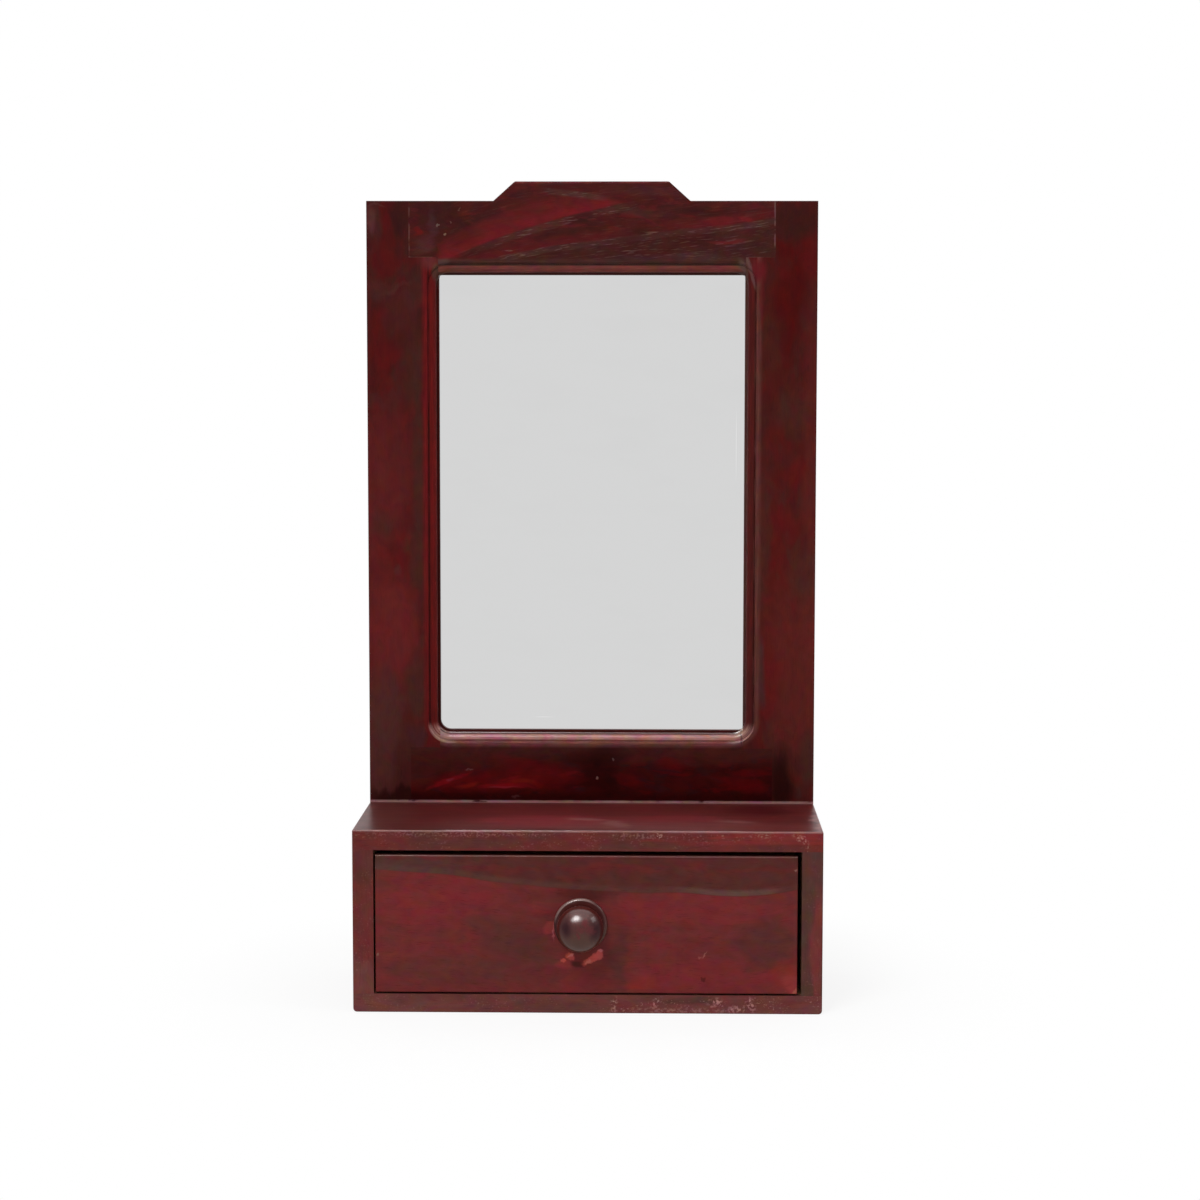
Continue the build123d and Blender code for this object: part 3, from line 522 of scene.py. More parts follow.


# ---- Rails -----------------------------------------------------------------------------------
# The rails are halved into the stiles, so their ends show on the front as fine seams. The top rail
# has a low raised crest and swirling grain, with pale dust in its pores and a painted highlight
# along the crest; its moulding faces down and is painted lighter with the floor's reflection. The
# bottom rail is nearly black, and the moulding above it faces up and is painted pale with the
# reflection of the light above.

# Height of the lower grain line of the top rail, from its left end to its right end
TOP_GRAIN = (-125.0, 125.0, 468.0, 482.0, 492.0, 498.5, 502.5, 506.3, 510.0, 513.0, 518.0)
GRAIN_RED = tone(101, 29, 32)
GRAIN_CLEAR_RED = tone(88, 29, 30)
GRAIN_DULL_RED = tone(81, 27, 28)
GRAIN_DUST = tone(78, 52, 47)
GRAIN_PURPLE = tone(66, 38, 42)
GRAIN_WARM_RED = tone(88, 31, 31)
LAP_RED = tone(100, 22, 25)
LAP_PURPLE = tone(72, 36, 40)
CREST_HIGHLIGHT = tone(122, 58, 60)
CORNER_GREY = tone(78, 58, 54)
PALE_PORE = tone(106, 78, 72)
PALE_SCRATCH = tone(116, 88, 82)
PALE_NICK = tone(124, 96, 86)

# Where the ends of the rails meet the stiles, out from the middle of the frame, the height that
# the laps of the top rail reach down to, and the top of its crest
LAP_END = 124.2
LAP_FOOT = 493.1
FRAME_HEIGHT = 543.0

top_rail = FrameBoard(
    "top_rail_stain",
    ACROSS,
    9.4,
    dark=tone(60, 26, 24),
    middle=tone(70, 28, 27),
    bright=tone(76, 30, 29),
    bend=TOP_GRAIN,
)
wavy = 3.0 * top_rail.clouds + 2.0 * top_rail.streaks - 2.5
flow = top_rail.level + wavy
tilted = flow - 0.11 * top_rail.x
crest_line = top_rail.z + 0.12 * top_rail.x
middle = top_rail.strip(top_rail.x, -108.0, -98.0, 8.0, 30.0)
red_band = top_rail.strip(tilted, 20.0, 22.0, 33.0, 38.0) * middle
red_band = red_band * top_rail.step(crest_line, 534.0, 530.5)
core = red_band * top_rail.step(tilted, 32.0, 24.0)
lower_band = top_rail.strip(flow, 0.0, 1.0, 4.0, 8.0) * top_rail.step(top_rail.x, 34.0, 10.0)
right_band = top_rail.strip(flow, 0.5, 2.0, 4.5, 9.0) * top_rail.step(top_rail.x, 36.0, 64.0)
under = top_rail.step(flow, 0.5, -1.0) * top_rail.step(top_rail.x, -90.0, -40.0)
top_rail.cloud(GRAIN_WARM_RED, strength=0.6, size=(22.0, 5.0), seed=43.0)
top_rail.paint(0.7 * under, DEEP_BROWN)
top_rail.paint(0.85 * red_band, GRAIN_CLEAR_RED)
top_rail.paint(0.85 * core, GRAIN_RED)
top_rail.paint(0.8 * lower_band, GRAIN_DULL_RED)
top_rail.paint(0.7 * right_band, GRAIN_CLEAR_RED)
top_rail.rub(GRAIN_RED, (-92, 499, 13, 6, 0.7, 25), (85, 516, 11, 3, 0.5, 4))
top_rail.rub(GRAIN_RED, (106, 518, 6, 1.6, 0.7), (92, 502.5, 13, 1.6, 0.7))
top_rail.rub(
    DEEP_BROWN,
    (-116, 521, 6, 9, 0.9),
    (-98, 522, 12, 7, 0.9),
    (-106, 497, 3, 12, 0.6),
    (-100, 512, 24, 16, 0.45),
    (112, 500, 12, 6, 0.5),
)
top_rail.rub(
    DULL_BROWN,
    (-113, 499, 7, 6, 0.6),
    (38, 522, 16, 3, 0.6),
    (112, 514, 10, 2, 0.6, 8),
    (40, 537, 26, 3, 0.5),
)
top_rail.rub(GRAIN_PURPLE, (58, 492, 34, 3, 0.7), (-110, 514, 3, 8, 0.6))
dusty = top_rail.noise(top_rail.flow, top_rail.along(9.0, 0.7), 41.0, detail=2.0)
near_red = top_rail.strip(tilted, 14.5, 17.0, 19.5, 21.5)
near_red = near_red * top_rail.strip(top_rail.x, -90.0, -50.0, 12.0, 36.0)
near_line = top_rail.line(flow, -1.2, 3.0, 1.2) * top_rail.step(top_rail.x, -90.0, -50.0)
on_crest = top_rail.line(crest_line, 533.0, 3.0, 1.0)
on_crest = on_crest * top_rail.strip(top_rail.x, -38.0, -24.0, 2.0, 14.0)
low_right = top_rail.step(flow, -2.0, -5.0) * top_rail.step(top_rail.x, -40.0, 10.0)
grey = (0.7 * near_red + 0.8 * near_line + 0.9 * on_crest).least(0.3 * low_right)
top_rail.paint(0.5 * grey * top_rail.step(top_rail.clouds, 0.40, 0.55), GRAIN_DUST)
cleared = (1.0 - 0.8 * red_band) * top_rail.step(top_rail.x, -104.0, -92.0)
pale = top_rail.step(dusty, 0.58, 0.68) * (0.16 + grey) * cleared
top_rail.paint(0.6 * pale, PALE_PORE)
top_rail.rub(LAP_RED, (-119.5, 509.5, 2.2, 3, 0.5))
top_rail.rub(LAP_PURPLE, (-113, 501, 7, 6, 0.6))
top_rail.chip(
    PALE_NICK,
    (-98.7, 507.6, 1.1, 0.8, 0.7, 30),
    (-104.3, 513.6, 0.9, 0.8, 0.5),
    (-95.5, 515.5, 0.8, 0.6, 0.3, -30),
    (-89.5, 524.5, 1.8, 0.6, 0.25, 30),
)
for scratch in (
    (24.5, 496.4, 5, 0.4, 0.8),
    (46.5, 497.5, 4, 0.4, 0.6),
    (-56, 496.6, 2.4, 0.4, 0.5),
    (41, 509, 5, 0.4, 0.4),
):
    broken = top_rail.patch(top_rail.place, scratch) * top_rail.step(top_rail.fibres, 0.38, 0.56)
    top_rail.paint(broken, PALE_SCRATCH)
patchy = top_rail.noise(top_rail.place, (7.0, 7.0, 7.0), 87.0, detail=4.0)
upright = top_rail.line(abs(top_rail.x) + 1.2 * patchy, LAP_END, 0.8, 0.3)
upright = upright * (0.6 + 0.4 * top_rail.step(top_rail.x, -10.0, 10.0))
level_seam = top_rail.step(top_rail.z + 0.8 * patchy, LAP_FOOT, LAP_FOOT - 0.4)
level_seam = level_seam * top_rail.step(
    abs(top_rail.x), SIGHT_HALF_WIDTH, SIGHT_HALF_WIDTH + 2.0
)
seam = top_rail.step(patchy, 0.36, 0.56) * (upright + level_seam)
top_rail.paint(0.8 * seam, SEAM_DUST)
# Painted highlight along the top edge of the crest, broken by the fibres
crest_edge = top_rail.step(top_rail.z, FRAME_HEIGHT - 1.8, FRAME_HEIGHT - 0.6)
crest_edge = crest_edge * top_rail.step(top_rail.y, FRAME_FRONT + 1.6, FRAME_FRONT + 0.8)
top_rail.paint(0.6 * crest_edge * top_rail.step(top_rail.fibres, 0.35, 0.5), CREST_HIGHLIGHT)
# Painted shade towards the top of the frame
top_rail.shade_upwards(0.16)
top_rail.out = top_rail.z - (SIGHT_MIDDLE + SIGHT_HALF_HEIGHT)
# Painted light on the moulding: the ovolo faces down and is painted lighter with the reflection of
# the floor
top_rail.mould(
    step=tone(62, 36, 32),
    ovolo=tone(101, 50, 46),
    lip=tone(64, 36, 32),
    quirk=tone(66, 42, 37),
    shine=0.08,
)
top_rail.rub(CORNER_GREY, (101, 486, 3.2, 5.5, 0.8), (-100.5, 488.5, 4, 2.5, 0.5))
top_rail.varnish(patchy=0.45)
top_rail.put_on("top_rail")

RAIL_DARK = tone(38, 10, 10)
RAIL_PURPLE = tone(44, 19, 22)
RAIL_BROWN = tone(63, 25, 23)
RAIL_END_BROWN = tone(62, 24, 22)
RAIL_TOP_EDGE = tone(62, 27, 25)
RAIL_DEEP_RED = tone(74, 12, 14)
RAIL_RED = tone(76, 11, 14)
RAIL_CRIMSON = tone(84, 15, 17)
STREAK_DARK = tone(96, 18, 22)
STREAK_RED = tone(108, 18, 24)
STREAK_ORANGE = tone(104, 26, 20)
STREAK_PINK = tone(116, 38, 50)

bottom_rail = FrameBoard(
    "bottom_rail_stain",
    ACROSS,
    14.2,
    dark=tone(48, 12, 12),
    middle=tone(56, 14, 14),
    bright=tone(60, 14, 15),
)
bottom_rail.cloud(RAIL_PURPLE, strength=0.7, size=(16.0, 7.0), seed=41.0)
bottom_rail.cloud(RAIL_DEEP_RED, strength=0.7, size=(14.0, 5.0), seed=43.0, low=0.56, high=0.68)
bottom_rail.paint(0.9 * bottom_rail.step(bottom_rail.z, 143.0, 157.0), RAIL_TOP_EDGE)
bottom_rail.rub(RAIL_BROWN, (-92, 148, 34, 7, 0.6), (62, 152, 50, 5, 0.5))
bottom_rail.rub(RAIL_CRIMSON, (-66, 136, 56, 8, 0.8, 4), (-50, 147, 12, 4, 0.6))
bottom_rail.rub(RAIL_DARK, (6, 138, 13, 18, 0.85), (0, 152, 20, 5, 0.5))
bottom_rail.rub(
    RAIL_RED,
    (100, 133.5, 16, 4.5, 0.8, -10),
    (54, 147, 9, 4, 0.6),
    (112, 141, 14, 3, 0.7),
    (24, 136, 8, 4, 0.5),
)
bottom_rail.paint(0.85 * bottom_rail.step(bottom_rail.z, 130.0, 123.0), RAIL_DARK)
bottom_rail.rub(RAIL_END_BROWN, (-123, 143, 13, 13, 0.8))
bottom_rail.rub(STREAK_RED, (-100, 134.5, 15, 2, 0.8, 27), (-60, 131.5, 16, 1.8, 0.7))
bottom_rail.rub(STREAK_ORANGE, (-84, 132, 9, 2, 0.5, 20), (-47, 134.5, 10, 1.4, 0.5))
bottom_rail.rub(STREAK_PINK, (-97.5, 135.6, 3.6, 1.2, 0.6, 27), (-60, 130.4, 7, 0.9, 0.4))
bottom_rail.rub(STREAK_DARK, (-14, 140.5, 6, 1.2, 0.5, 10), (-56, 136, 8, 1.4, 0.5, 12))
bottom_rail.chip(SEAM_DUST, (15, 150.2, 1, 0.8, 0.6), (4, 136.6, 1, 1, 0.9))
bottom_rail.chip(SEAM_DUST, (-84, 142.6, 2.6, 0.6, 0.5, 15), (-52, 124, 3, 1, 0.2))
# Painted light on the moulding: the pale ovolo and step are painted reflections of the light
# above, and the darker quirk between them is painted shade
bottom_rail.mould(
    step=tone(95, 53, 51),
    ovolo=tone(153, 106, 102),
    lip=tone(60, 24, 22),
    quirk=tone(98, 57, 55),
    shine=0.22,
    lip_end=2.8,
)
bottom_rail.glint()
bottom_rail.chip(NEARLY_BLACK, (102.8, 165, 0.6, 4.5, 0.6))
bottom_rail.dust()
bottom_rail.varnish(contrast=0.14, patchy=0.6)
bottom_rail.put_on("bottom_rail")


# ---- Mirror glass ----------------------------------------------------------------------------
# A pane of clear float glass, silvered on its back and laid into the rabbet from behind. Faint
# wiping smears show in the gloss, and two fine scratches.

SILVER = (0.895, 0.897, 0.897)
SILVER_SMEARED = (0.885, 0.887, 0.887)
SCRATCH = (0.98, 0.98, 0.98)

mirror = Finish("mirror_silver")
smears = mirror.noise(mirror.place, (60.0, 60.0, 22.0), 3.0, detail=3.0)
silver = mirror.blend(mirror.step(smears, 0.45, 0.75), SILVER, SILVER_SMEARED)
flat_scratch = mirror.spot(mirror.place, (-33.0, 0.0, 178.0), (6.0, THROUGH, 0.3))
tall_scratch = mirror.spot(mirror.place, (98.5, 0.0, 365.0), (0.3, THROUGH, 20.0))
silver = mirror.blend(flat_scratch + tall_scratch, silver, SCRATCH)
mirror.finish({"Base Color": silver, "Metallic": 1.0, "Roughness": 0.012 + 0.02 * smears})
mirror.put_on("mirror_glass")


# ---- Backing board and case back -------------------------------------------------------------
# Thin plywood panels: one covers the silvering, the other closes the case. Both are unfinished
# and show a rotary-cut face veneer with a broad, wandering figure.

VENEER_PALE = (0.44, 0.28, 0.15)
VENEER_DARK = (0.31, 0.175, 0.085)

veneer = Finish("plywood_veneer")
drift = veneer.noise(veneer.place, (120.0, 40.0, 34.0), 2.0, detail=3.0)
rings = veneer.noise(veneer.place, (60.0, 5.0, 3.2), 6.0, detail=2.0)
hairs = veneer.noise(veneer.place, (14.0, 0.5, 0.5), 8.0)
figure = veneer.step(0.6 * drift + 0.4 * rings, 0.40, 0.60)
veneer.finish(
    {
        "Base Color": veneer.shade(
            veneer.blend(figure, VENEER_PALE, VENEER_DARK), 0.80 + 0.40 * hairs
        ),
        "Roughness": 0.62 + 0.12 * hairs,
        "Specular IOR Level": 0.3,
    },
    0.03 * hairs + 0.02 * rings,
)
veneer.put_on("backing_board", "case_back")


# ---- Hanger plates, screws and pins ----------------------------------------------------------
# The keyhole plates, let in flush behind the stiles, are stamped from bright steel strip. The
# screws are turned and the pins cut from drawn wire, all of the same plain steel, a little dull.

STEEL_BRIGHT = (0.52, 0.51, 0.49)
STEEL_DULL = (0.36, 0.34, 0.31)

steel = Finish("plain_steel")
tarnish = steel.noise(steel.place, (7.0, 7.0, 7.0), 4.0, detail=4.0)
rolling = steel.noise(steel.place, (0.25, 0.25, 9.0), 7.0)
steel.finish(
    {
        "Base Color": steel.blend(steel.step(tarnish, 0.40, 0.68), STEEL_BRIGHT, STEEL_DULL),
        "Metallic": 1.0,
        "Roughness": 0.26 + 0.16 * tarnish + 0.10 * rolling,
    },
    0.006 * rolling,
)
steel.put_on(
    "left_hanger_plate",
    "right_hanger_plate",
    "hanger_screws",
    "frame_screws",
    "backing_pins",
    "case_back_pins",
    "drawer_pins",
    "knob_screw",
)


# ---- Case boards -----------------------------------------------------------------------------
# The four boards of the case are butted and dowelled, stained like the frame but browner and more
# worn: rubbed pale along the front arrises, and left bare wood inside, where the drawer runs. The
# top has a painted highlight along its upper front arris and painted glare along its ends.

CASE_BROWN = tone(86, 45, 42)
CASE_RED = tone(96, 43, 41)
CASE_CRIMSON = tone(116, 44, 44)
CASE_ROSE = tone(108, 50, 52)
CASE_WARM = tone(108, 50, 48)
CASE_DULL = tone(88, 46, 43)
CASE_GREY = tone(79, 51, 47)
CASE_PINK = tone(104, 60, 57)
CASE_OLIVE = tone(76, 52, 45)
SCUFF_PINK = tone(165, 118, 112)
ARRIS_HIGHLIGHT = tone(128, 86, 84)
TOP_CRIMSON = tone(100, 34, 38)
TOP_DARK = tone(54, 17, 19)
TOP_WORN = tone(93, 45, 44)
TOP_RUBBED = tone(122, 80, 77)
TOP_END_GLARE = tone(124, 86, 84)
BARE_INSIDE = (0.36, 0.215, 0.115)

CASE_FRONT = -65.0
CASE_INNER_HALF = 138.9
CASE_FLOOR = 12.2
CASE_CEILING = 106.8


class CaseBoard(StainedBoard):
    """A board of the case: its inner face is bare, with some stain run over its front edge."""

    def scuff(self, limit):
        """Groups of fine pale rubs, as strong as limit lets them be."""
        grit = self.noise(self.place, (1.5, 1.5, 1.0), self.seed + 47.0, detail=4.0)
        groups = self.noise(self.place, (15.0, 15.0, 6.0), self.seed + 49.0, detail=3.0)
        self.paint(limit * self.step(grit, 0.56, 0.68) * self.step(groups, 0.44, 0.60), SCUFF_PINK)

    def nicks(self, *marks):
        """Crowded nicks within Marks on the front."""
        grit = self.noise(self.place, (1.7, 1.7, 1.5), self.seed + 59.0, detail=4.0)
        crowded = self.step(grit, 0.48, 0.58)
        for numbers in marks:
            self.paint(self.patch(self.ragged, numbers, soft=0.7) * crowded, SCUFF_PINK)

    def rub_above(self, colour, *marks):
        """Paints soft Marks on the upper face."""
        for numbers in marks:
            x, y, wide, deep, strength, turn = Mark(*numbers)
            around = (0.0, 0.0, math.radians(turn))
            patch = self.spot(self.loose, (x, y, 0.0), (wide, deep, THROUGH), around)
            self.paint(strength * patch, colour)

    def varnish(self, **look):
        """Bares the inside of the case, then finishes as any stained board."""
        between = self.step(abs(self.x), CASE_INNER_HALF + 0.2, CASE_INNER_HALF)
        inside = self.strip(
            self.z, CASE_FLOOR - 0.2, CASE_FLOOR, CASE_CEILING, CASE_CEILING + 0.2
        )
        run_over = self.y + 10.0 * self.clouds + 8.0 * self.streaks
        behind = self.step(run_over, CASE_FRONT + 10.0, CASE_FRONT + 18.0)
        self.paint(between * inside * behind, BARE_INSIDE)
        super().varnish(**look)


case_top = CaseBoard(
    "case_top_stain",
    ACROSS,
    21.3,
    dark=tone(68, 28, 27),
    middle=tone(75, 29, 29),
    bright=tone(84, 31, 32),
)
case_top.rub_above(TOP_CRIMSON, (-28, -30, 46, 22, 0.85), (55, -20, 30, 14, 0.6))
case_top.rub_above(TOP_WORN, (70, -48, 90, 14, 0.6))
# Painted glare along both ends of the upper face
case_top.rub_above(TOP_END_GLARE, (-151, -20, 6, 50, 0.5), (152.2, -25, 3, 45, 0.7))
case_top.rub_above(TOP_DARK, (114, 16, 20, 18, 0.8))
case_top.rub_above(DULL_BROWN, (-138, -10, 22, 50, 0.7), (-100, -48, 34, 12, 0.5))
case_top.rub_above(
    TOP_RUBBED,
    (-3, -22, 10, 5, 0.5, -14),
    (20, -38, 6, 14, 0.42, 30),
    (98, -29, 16, 4, 0.45, -12),
)
front_face = case_top.step(case_top.y, CASE_FRONT + 1.5, CASE_FRONT + 0.5)
worn_brown = case_top.blend(case_top.step(case_top.clouds, 0.42, 0.58), CASE_BROWN, CASE_RED)
case_top.paint(front_face, worn_brown)
reddest = case_top.step(case_top.x, 20.0, 70.0) * case_top.step(case_top.z, 110.0, 113.0)
reddest = reddest * case_top.step(case_top.streaks, 0.38, 0.54)
case_top.paint(0.85 * front_face * reddest, CASE_CRIMSON)
case_top.rub(CASE_OLIVE, (40, 110, 30, 2.6, 0.5), (-70, 112, 24, 3, 0.5))
case_top.scuff(front_face * (0.15 + 0.2 * case_top.step(case_top.z, 114.0, 118.5)))
case_top.nicks(
    (141.5, 111.5, 1, 4.6, 0.6, 20),
    (137.5, 115.5, 5, 1.8, 0.5, -30),
    (112, 117, 8, 1.2, 0.25),
    (34, 116.5, 14, 2, 0.22),
    (46.5, 117.6, 1.4, 1.2, 0.9),
    (-80, 117.5, 50, 1.4, 0.25),
)
# Painted highlight along the upper front arris of the top, in broken strength, where its coat
# gloss is raised too
arris = case_top.step(case_top.y, CASE_FRONT + 1.6, CASE_FRONT + 0.8)
arris = arris * case_top.step(case_top.z, CASE_HEIGHT - 1.6, CASE_HEIGHT - 0.6)
arris_highlight_share = 0.35 + 0.5 * case_top.step(case_top.streaks + case_top.clouds, 0.8, 1.1)
case_top.paint(arris_highlight_share * arris, ARRIS_HIGHLIGHT)
junction = case_top.strip(
    case_top.y, FRAME_FRONT - 4.0, FRAME_FRONT - 0.6, FRAME_FRONT + 0.3, FRAME_FRONT + 0.8
)
junction = junction * case_top.step(case_top.z, CASE_HEIGHT - 0.8, CASE_HEIGHT - 0.2)
case_top.paint(0.8 * junction, FOOT_DUST)
case_top.shine = 0.35 * arris
case_top.relief = 0.1 * case_top.relief
case_top.varnish(roughness=0.26)
case_top.put_on("case_top")

case_bottom = CaseBoard(
    "case_bottom_stain",
    ACROSS,
    27.8,
    dark=tone(95, 54, 51),
    middle=tone(101, 56, 53),
    bright=tone(106, 55, 53),
)
case_bottom.rub(CASE_PINK, (-130, 5, 40, 5, 0.8), (110, 3, 60, 3.5, 0.7))
case_bottom.rub(CASE_OLIVE, (68, 9, 16, 2.4, 0.8), (-34, 7, 14, 4, 0.4))
case_bottom.rub(CASE_ROSE, (30, 4, 16, 3, 0.5), (132, 6, 10, 4, 0.5))
case_bottom.scuff(0.22 + 0.3 * case_bottom.step(case_bottom.x, 0.0, 25.0))
case_bottom.nicks(
    (17.5, 6.5, 1.8, 4.6, 0.75),
    (45, 7.5, 4, 1.8, 0.7, 50),
    (83.5, 7.5, 4, 2.4, 0.8, 10),
    (97, 3.2, 5, 2.2, 0.8, 10),
    (106, 6.5, 2.2, 4.6, 0.8, 20),
    (60, 2, 34, 1.6, 0.35),
)
case_bottom.varnish()
case_bottom.put_on("case_bottom")

case_left = CaseBoard(
    "case_left_stain",
    UP,
    33.5,
    dark=tone(90, 43, 41),
    middle=tone(98, 45, 43),
    bright=tone(104, 45, 44),
)
case_left.rub(CASE_PINK, (-147, 16, 12, 18, 0.8))
case_left.rub(CASE_BROWN, (-146, 100, 12, 14, 0.8))
case_left.scuff(0.16)
case_left.varnish()
case_left.put_on("case_left_side")

case_right = CaseBoard(
    "case_right_stain",
    UP,
    38.9,
    dark=CASE_GREY,
    middle=tone(84, 51, 47),
    bright=tone(92, 51, 47),
)
case_right.rub(CASE_WARM, (149.5, 46, 4.5, 30, 0.9), (150, 12, 3, 16, 0.5))
case_right.rub(CASE_DULL, (146, 98, 8, 8, 0.6))
case_right.rub(CASE_OLIVE, (141, 70, 2.6, 30, 0.6), (142, 14, 5, 8, 0.7))
case_right.scuff(0.12)
case_right.varnish()
case_right.put_on("case_right_side")


# ---- Drawer box and dowels -------------------------------------------------------------------
# The sides, back and bottom of the drawer are thin pale boards, planed and left bare. The case
# dowels are the same wood. Their grain is fine and straight, with a few darker growth lines.

BARE_PALE = (0.46, 0.31, 0.18)
BARE_DARK = (0.33, 0.20, 0.105)


def bare_wood(name, grain, seed):
    """Plain planed wood: growth lines and fine fibres along the grain."""
    wood = Finish(name)
    sizes = [[width] * 3 for width in (9.0, 1.8, 0.5)]
    for size, run in zip(sizes, (150.0, 90.0, 12.0)):
        size[grain] = run
    bands = wood.noise(wood.place, sizes[0], seed, detail=2.0)
    growth = wood.noise(wood.place, sizes[1], seed + 5.0, detail=2.0)
    fibres = wood.noise(wood.place, sizes[2], seed + 9.0)
    share = wood.step(0.5 * bands + 0.5 * growth, 0.42, 0.62)
    wood.finish(
        {
            "Base Color": wood.shade(wood.blend(share, BARE_PALE, BARE_DARK), 0.8 + 0.4 * fibres),
            "Roughness": 0.60 + 0.12 * fibres,
            "Specular IOR Level": 0.3,
        },
        0.02 * fibres + 0.02 * growth,
    )
    return wood


bare_wood("drawer_side_wood", DEEP, 3.0).put_on("drawer_left_side", "drawer_right_side")
bare_wood("drawer_cross_wood", ACROSS, 8.0).put_on("drawer_back", "drawer_bottom")
bare_wood("dowel_wood", UP, 12.0).put_on("case_dowels")


# ---- Drawer front ----------------------------------------------------------------------------
# One board across the drawer. The stain took unevenly: a brown-grey band along the top ends in a
# wavy line, with clear crimson below it. Bare red flecks show under the knob.

# Height of the lower edge of the brown band, from the left end of the drawer to its right end
BAND_LINE = (-137.7, 136.1, 94.0, 92.3, 90.5, 86.5, 84.0, 81.8, 80.3, 79.4, 79.6, 77.6, 78.0, 82.0)
BAND_BROWN = tone(80, 41, 38)
BAND_GREY = tone(77, 47, 44)
BAND_EDGE = tone(90, 64, 58)
BAND_RED = tone(94, 37, 36)
BAND_WARM = tone(96, 38, 37)
FRONT_BROWN = tone(94, 43, 41)
FRONT_RED = tone(101, 42, 42)
FRONT_BRIGHT = tone(110, 41, 43)
FRONT_DULL = tone(82, 44, 41)
FRONT_SHADE = tone(88, 45, 42)
FRONT_WARM = tone(104, 45, 44)
FRONT_DARK = tone(74, 32, 30)
FRONT_ORANGE = tone(118, 42, 38)
FRONT_ARRIS_HIGHLIGHT = tone(104, 68, 65)
BARE_RED = tone(132, 52, 50)
KNOB_SHADOW = tone(66, 34, 28)
WORN_CORNER = tone(132, 48, 50)
BARE_CORNER = tone(152, 84, 68)
SCRATCH_PINK = tone(140, 80, 76)
NICK_ROSE = tone(136, 92, 88)
FLECK_RED = tone(170, 74, 68)
FLECK_PINK = tone(182, 100, 100)
DRAWER_FRONT_TOP = 103.7
DRAWER_FRONT_BACK = -52.3

front = StainedBoard(
    "drawer_front_stain", ACROSS, 45.0, FRONT_BROWN, FRONT_RED, FRONT_BRIGHT, BAND_LINE
)
front.cloud(FRONT_BRIGHT, strength=0.5, size=(26.0, 9.0), seed=43.0)
front.rub(
    FRONT_BRIGHT,
    (-108, 74, 30, 16, 0.7),
    (-76, 82, 22, 8, 0.7, -10),
    (62, 70, 50, 8, 0.7),
    (70, 24, 66, 9, 0.8),
    (-8, 21, 10, 6, 0.6),
)
front.rub(
    FRONT_DULL,
    (-44, 47, 24, 13, 0.85, -20),
    (19, 36, 6, 18, 0.85),
    (117, 47, 18, 17, 0.85),
    (-70, 58, 12, 5, 0.5),
    (106, 31, 8, 3, 0.4),
)
front.rub(FRONT_SHADE, (-78, 28, 56, 11, 0.75))
front.rub(FRONT_WARM, (-118, 44, 20, 8, 0.5))
front.rub(FRONT_DARK, (0, 79.5, 18, 5, 0.75))
front.rub(FRONT_ORANGE, (34, 21, 11, 4, 0.7), (128, 26, 9, 9, 0.7, 40))
band = front.step(front.level, -0.4, 0.8)
greyer = front.step(front.x, -60.0, -110.0)
front.paint(band, front.blend(greyer, BAND_BROWN, BAND_GREY))
band_red = front.noise(front.loose, (30.0, 8.0, 8.0), 99.0, detail=3.0)
front.paint(0.6 * band * front.step(band_red, 0.52, 0.66), BAND_RED)
front.rub(BAND_WARM, (70, 96.5, 13, 3.5, 0.6), (8, 96, 10, 3.5, 0.5))
right_run = front.strip(front.x, 46.0, 84.0, 116.0, 128.0)
edge_strip = front.strip(front.level, 0.0, 0.9, 2.6, 5.5)
front.paint((0.25 + 0.6 * right_run) * edge_strip, BAND_EDGE)
front.rub(BARE_RED, (-25.5, 56.5, 5, 3, 0.7), (-13, 32, 6, 4, 0.5))
# Painted shadow of the knob on the drawer front, below it
front.rub(KNOB_SHADOW, (-4, 31.5, 4, 2.4, 0.8))
front.chip(FLECK_RED, (-11, 37.6, 3, 2.2, 0.8, -30), (-15.8, 35.2, 1.6, 1.2, 0.7))
front.chip(FLECK_RED, (3.4, 36.2, 7.2, 2.1, 0.9, 33), (7.8, 38.6, 2.2, 3.6, 0.9))
front.chip(FLECK_PINK, (-10.6, 38, 1.9, 0.9, 0.7, 30), (-21.9, 54, 0.7, 5, 0.35))
front.chip(FLECK_PINK, (0.5, 34, 2.2, 0.8, 0.5, 33), (8.6, 41.6, 1.6, 0.9, 0.6))
front.rub(WORN_CORNER, (133, 19, 5, 6, 0.8, 30))
front.chip(BARE_CORNER, (134.8, 15.2, 2, 1.2, 0.7, 50))
front.chip(SCRATCH_PINK, (75.8, 38.8, 2.6, 0.5, 0.6, 55), (72.8, 37.2, 1, 0.4, 0.4, 10))
front.chip(NICK_ROSE, (134.6, 95, 1, 0.7, 0.8), (-136.4, 38, 1, 0.8, 0.6))
front.chip(DEEP_BROWN, (75.5, 22.8, 1.6, 1.3, 0.6))
# Painted highlight along the top front arris, where the coat gloss is raised too
top_edge = front.step(front.z, DRAWER_FRONT_TOP - 1.1, DRAWER_FRONT_TOP - 0.5)
top_edge = top_edge * front.step(front.y, CASE_FRONT + 2.0, CASE_FRONT + 1.0)
front.paint(0.5 * top_edge, FRONT_ARRIS_HIGHLIGHT)
front.shine = 0.2 * top_edge
bare_back = front.step(front.y, DRAWER_FRONT_BACK - 0.8, DRAWER_FRONT_BACK - 0.2)
front.paint(bare_back, BARE_INSIDE)
front.varnish(contrast=0.14)
front.put_on("drawer_front")


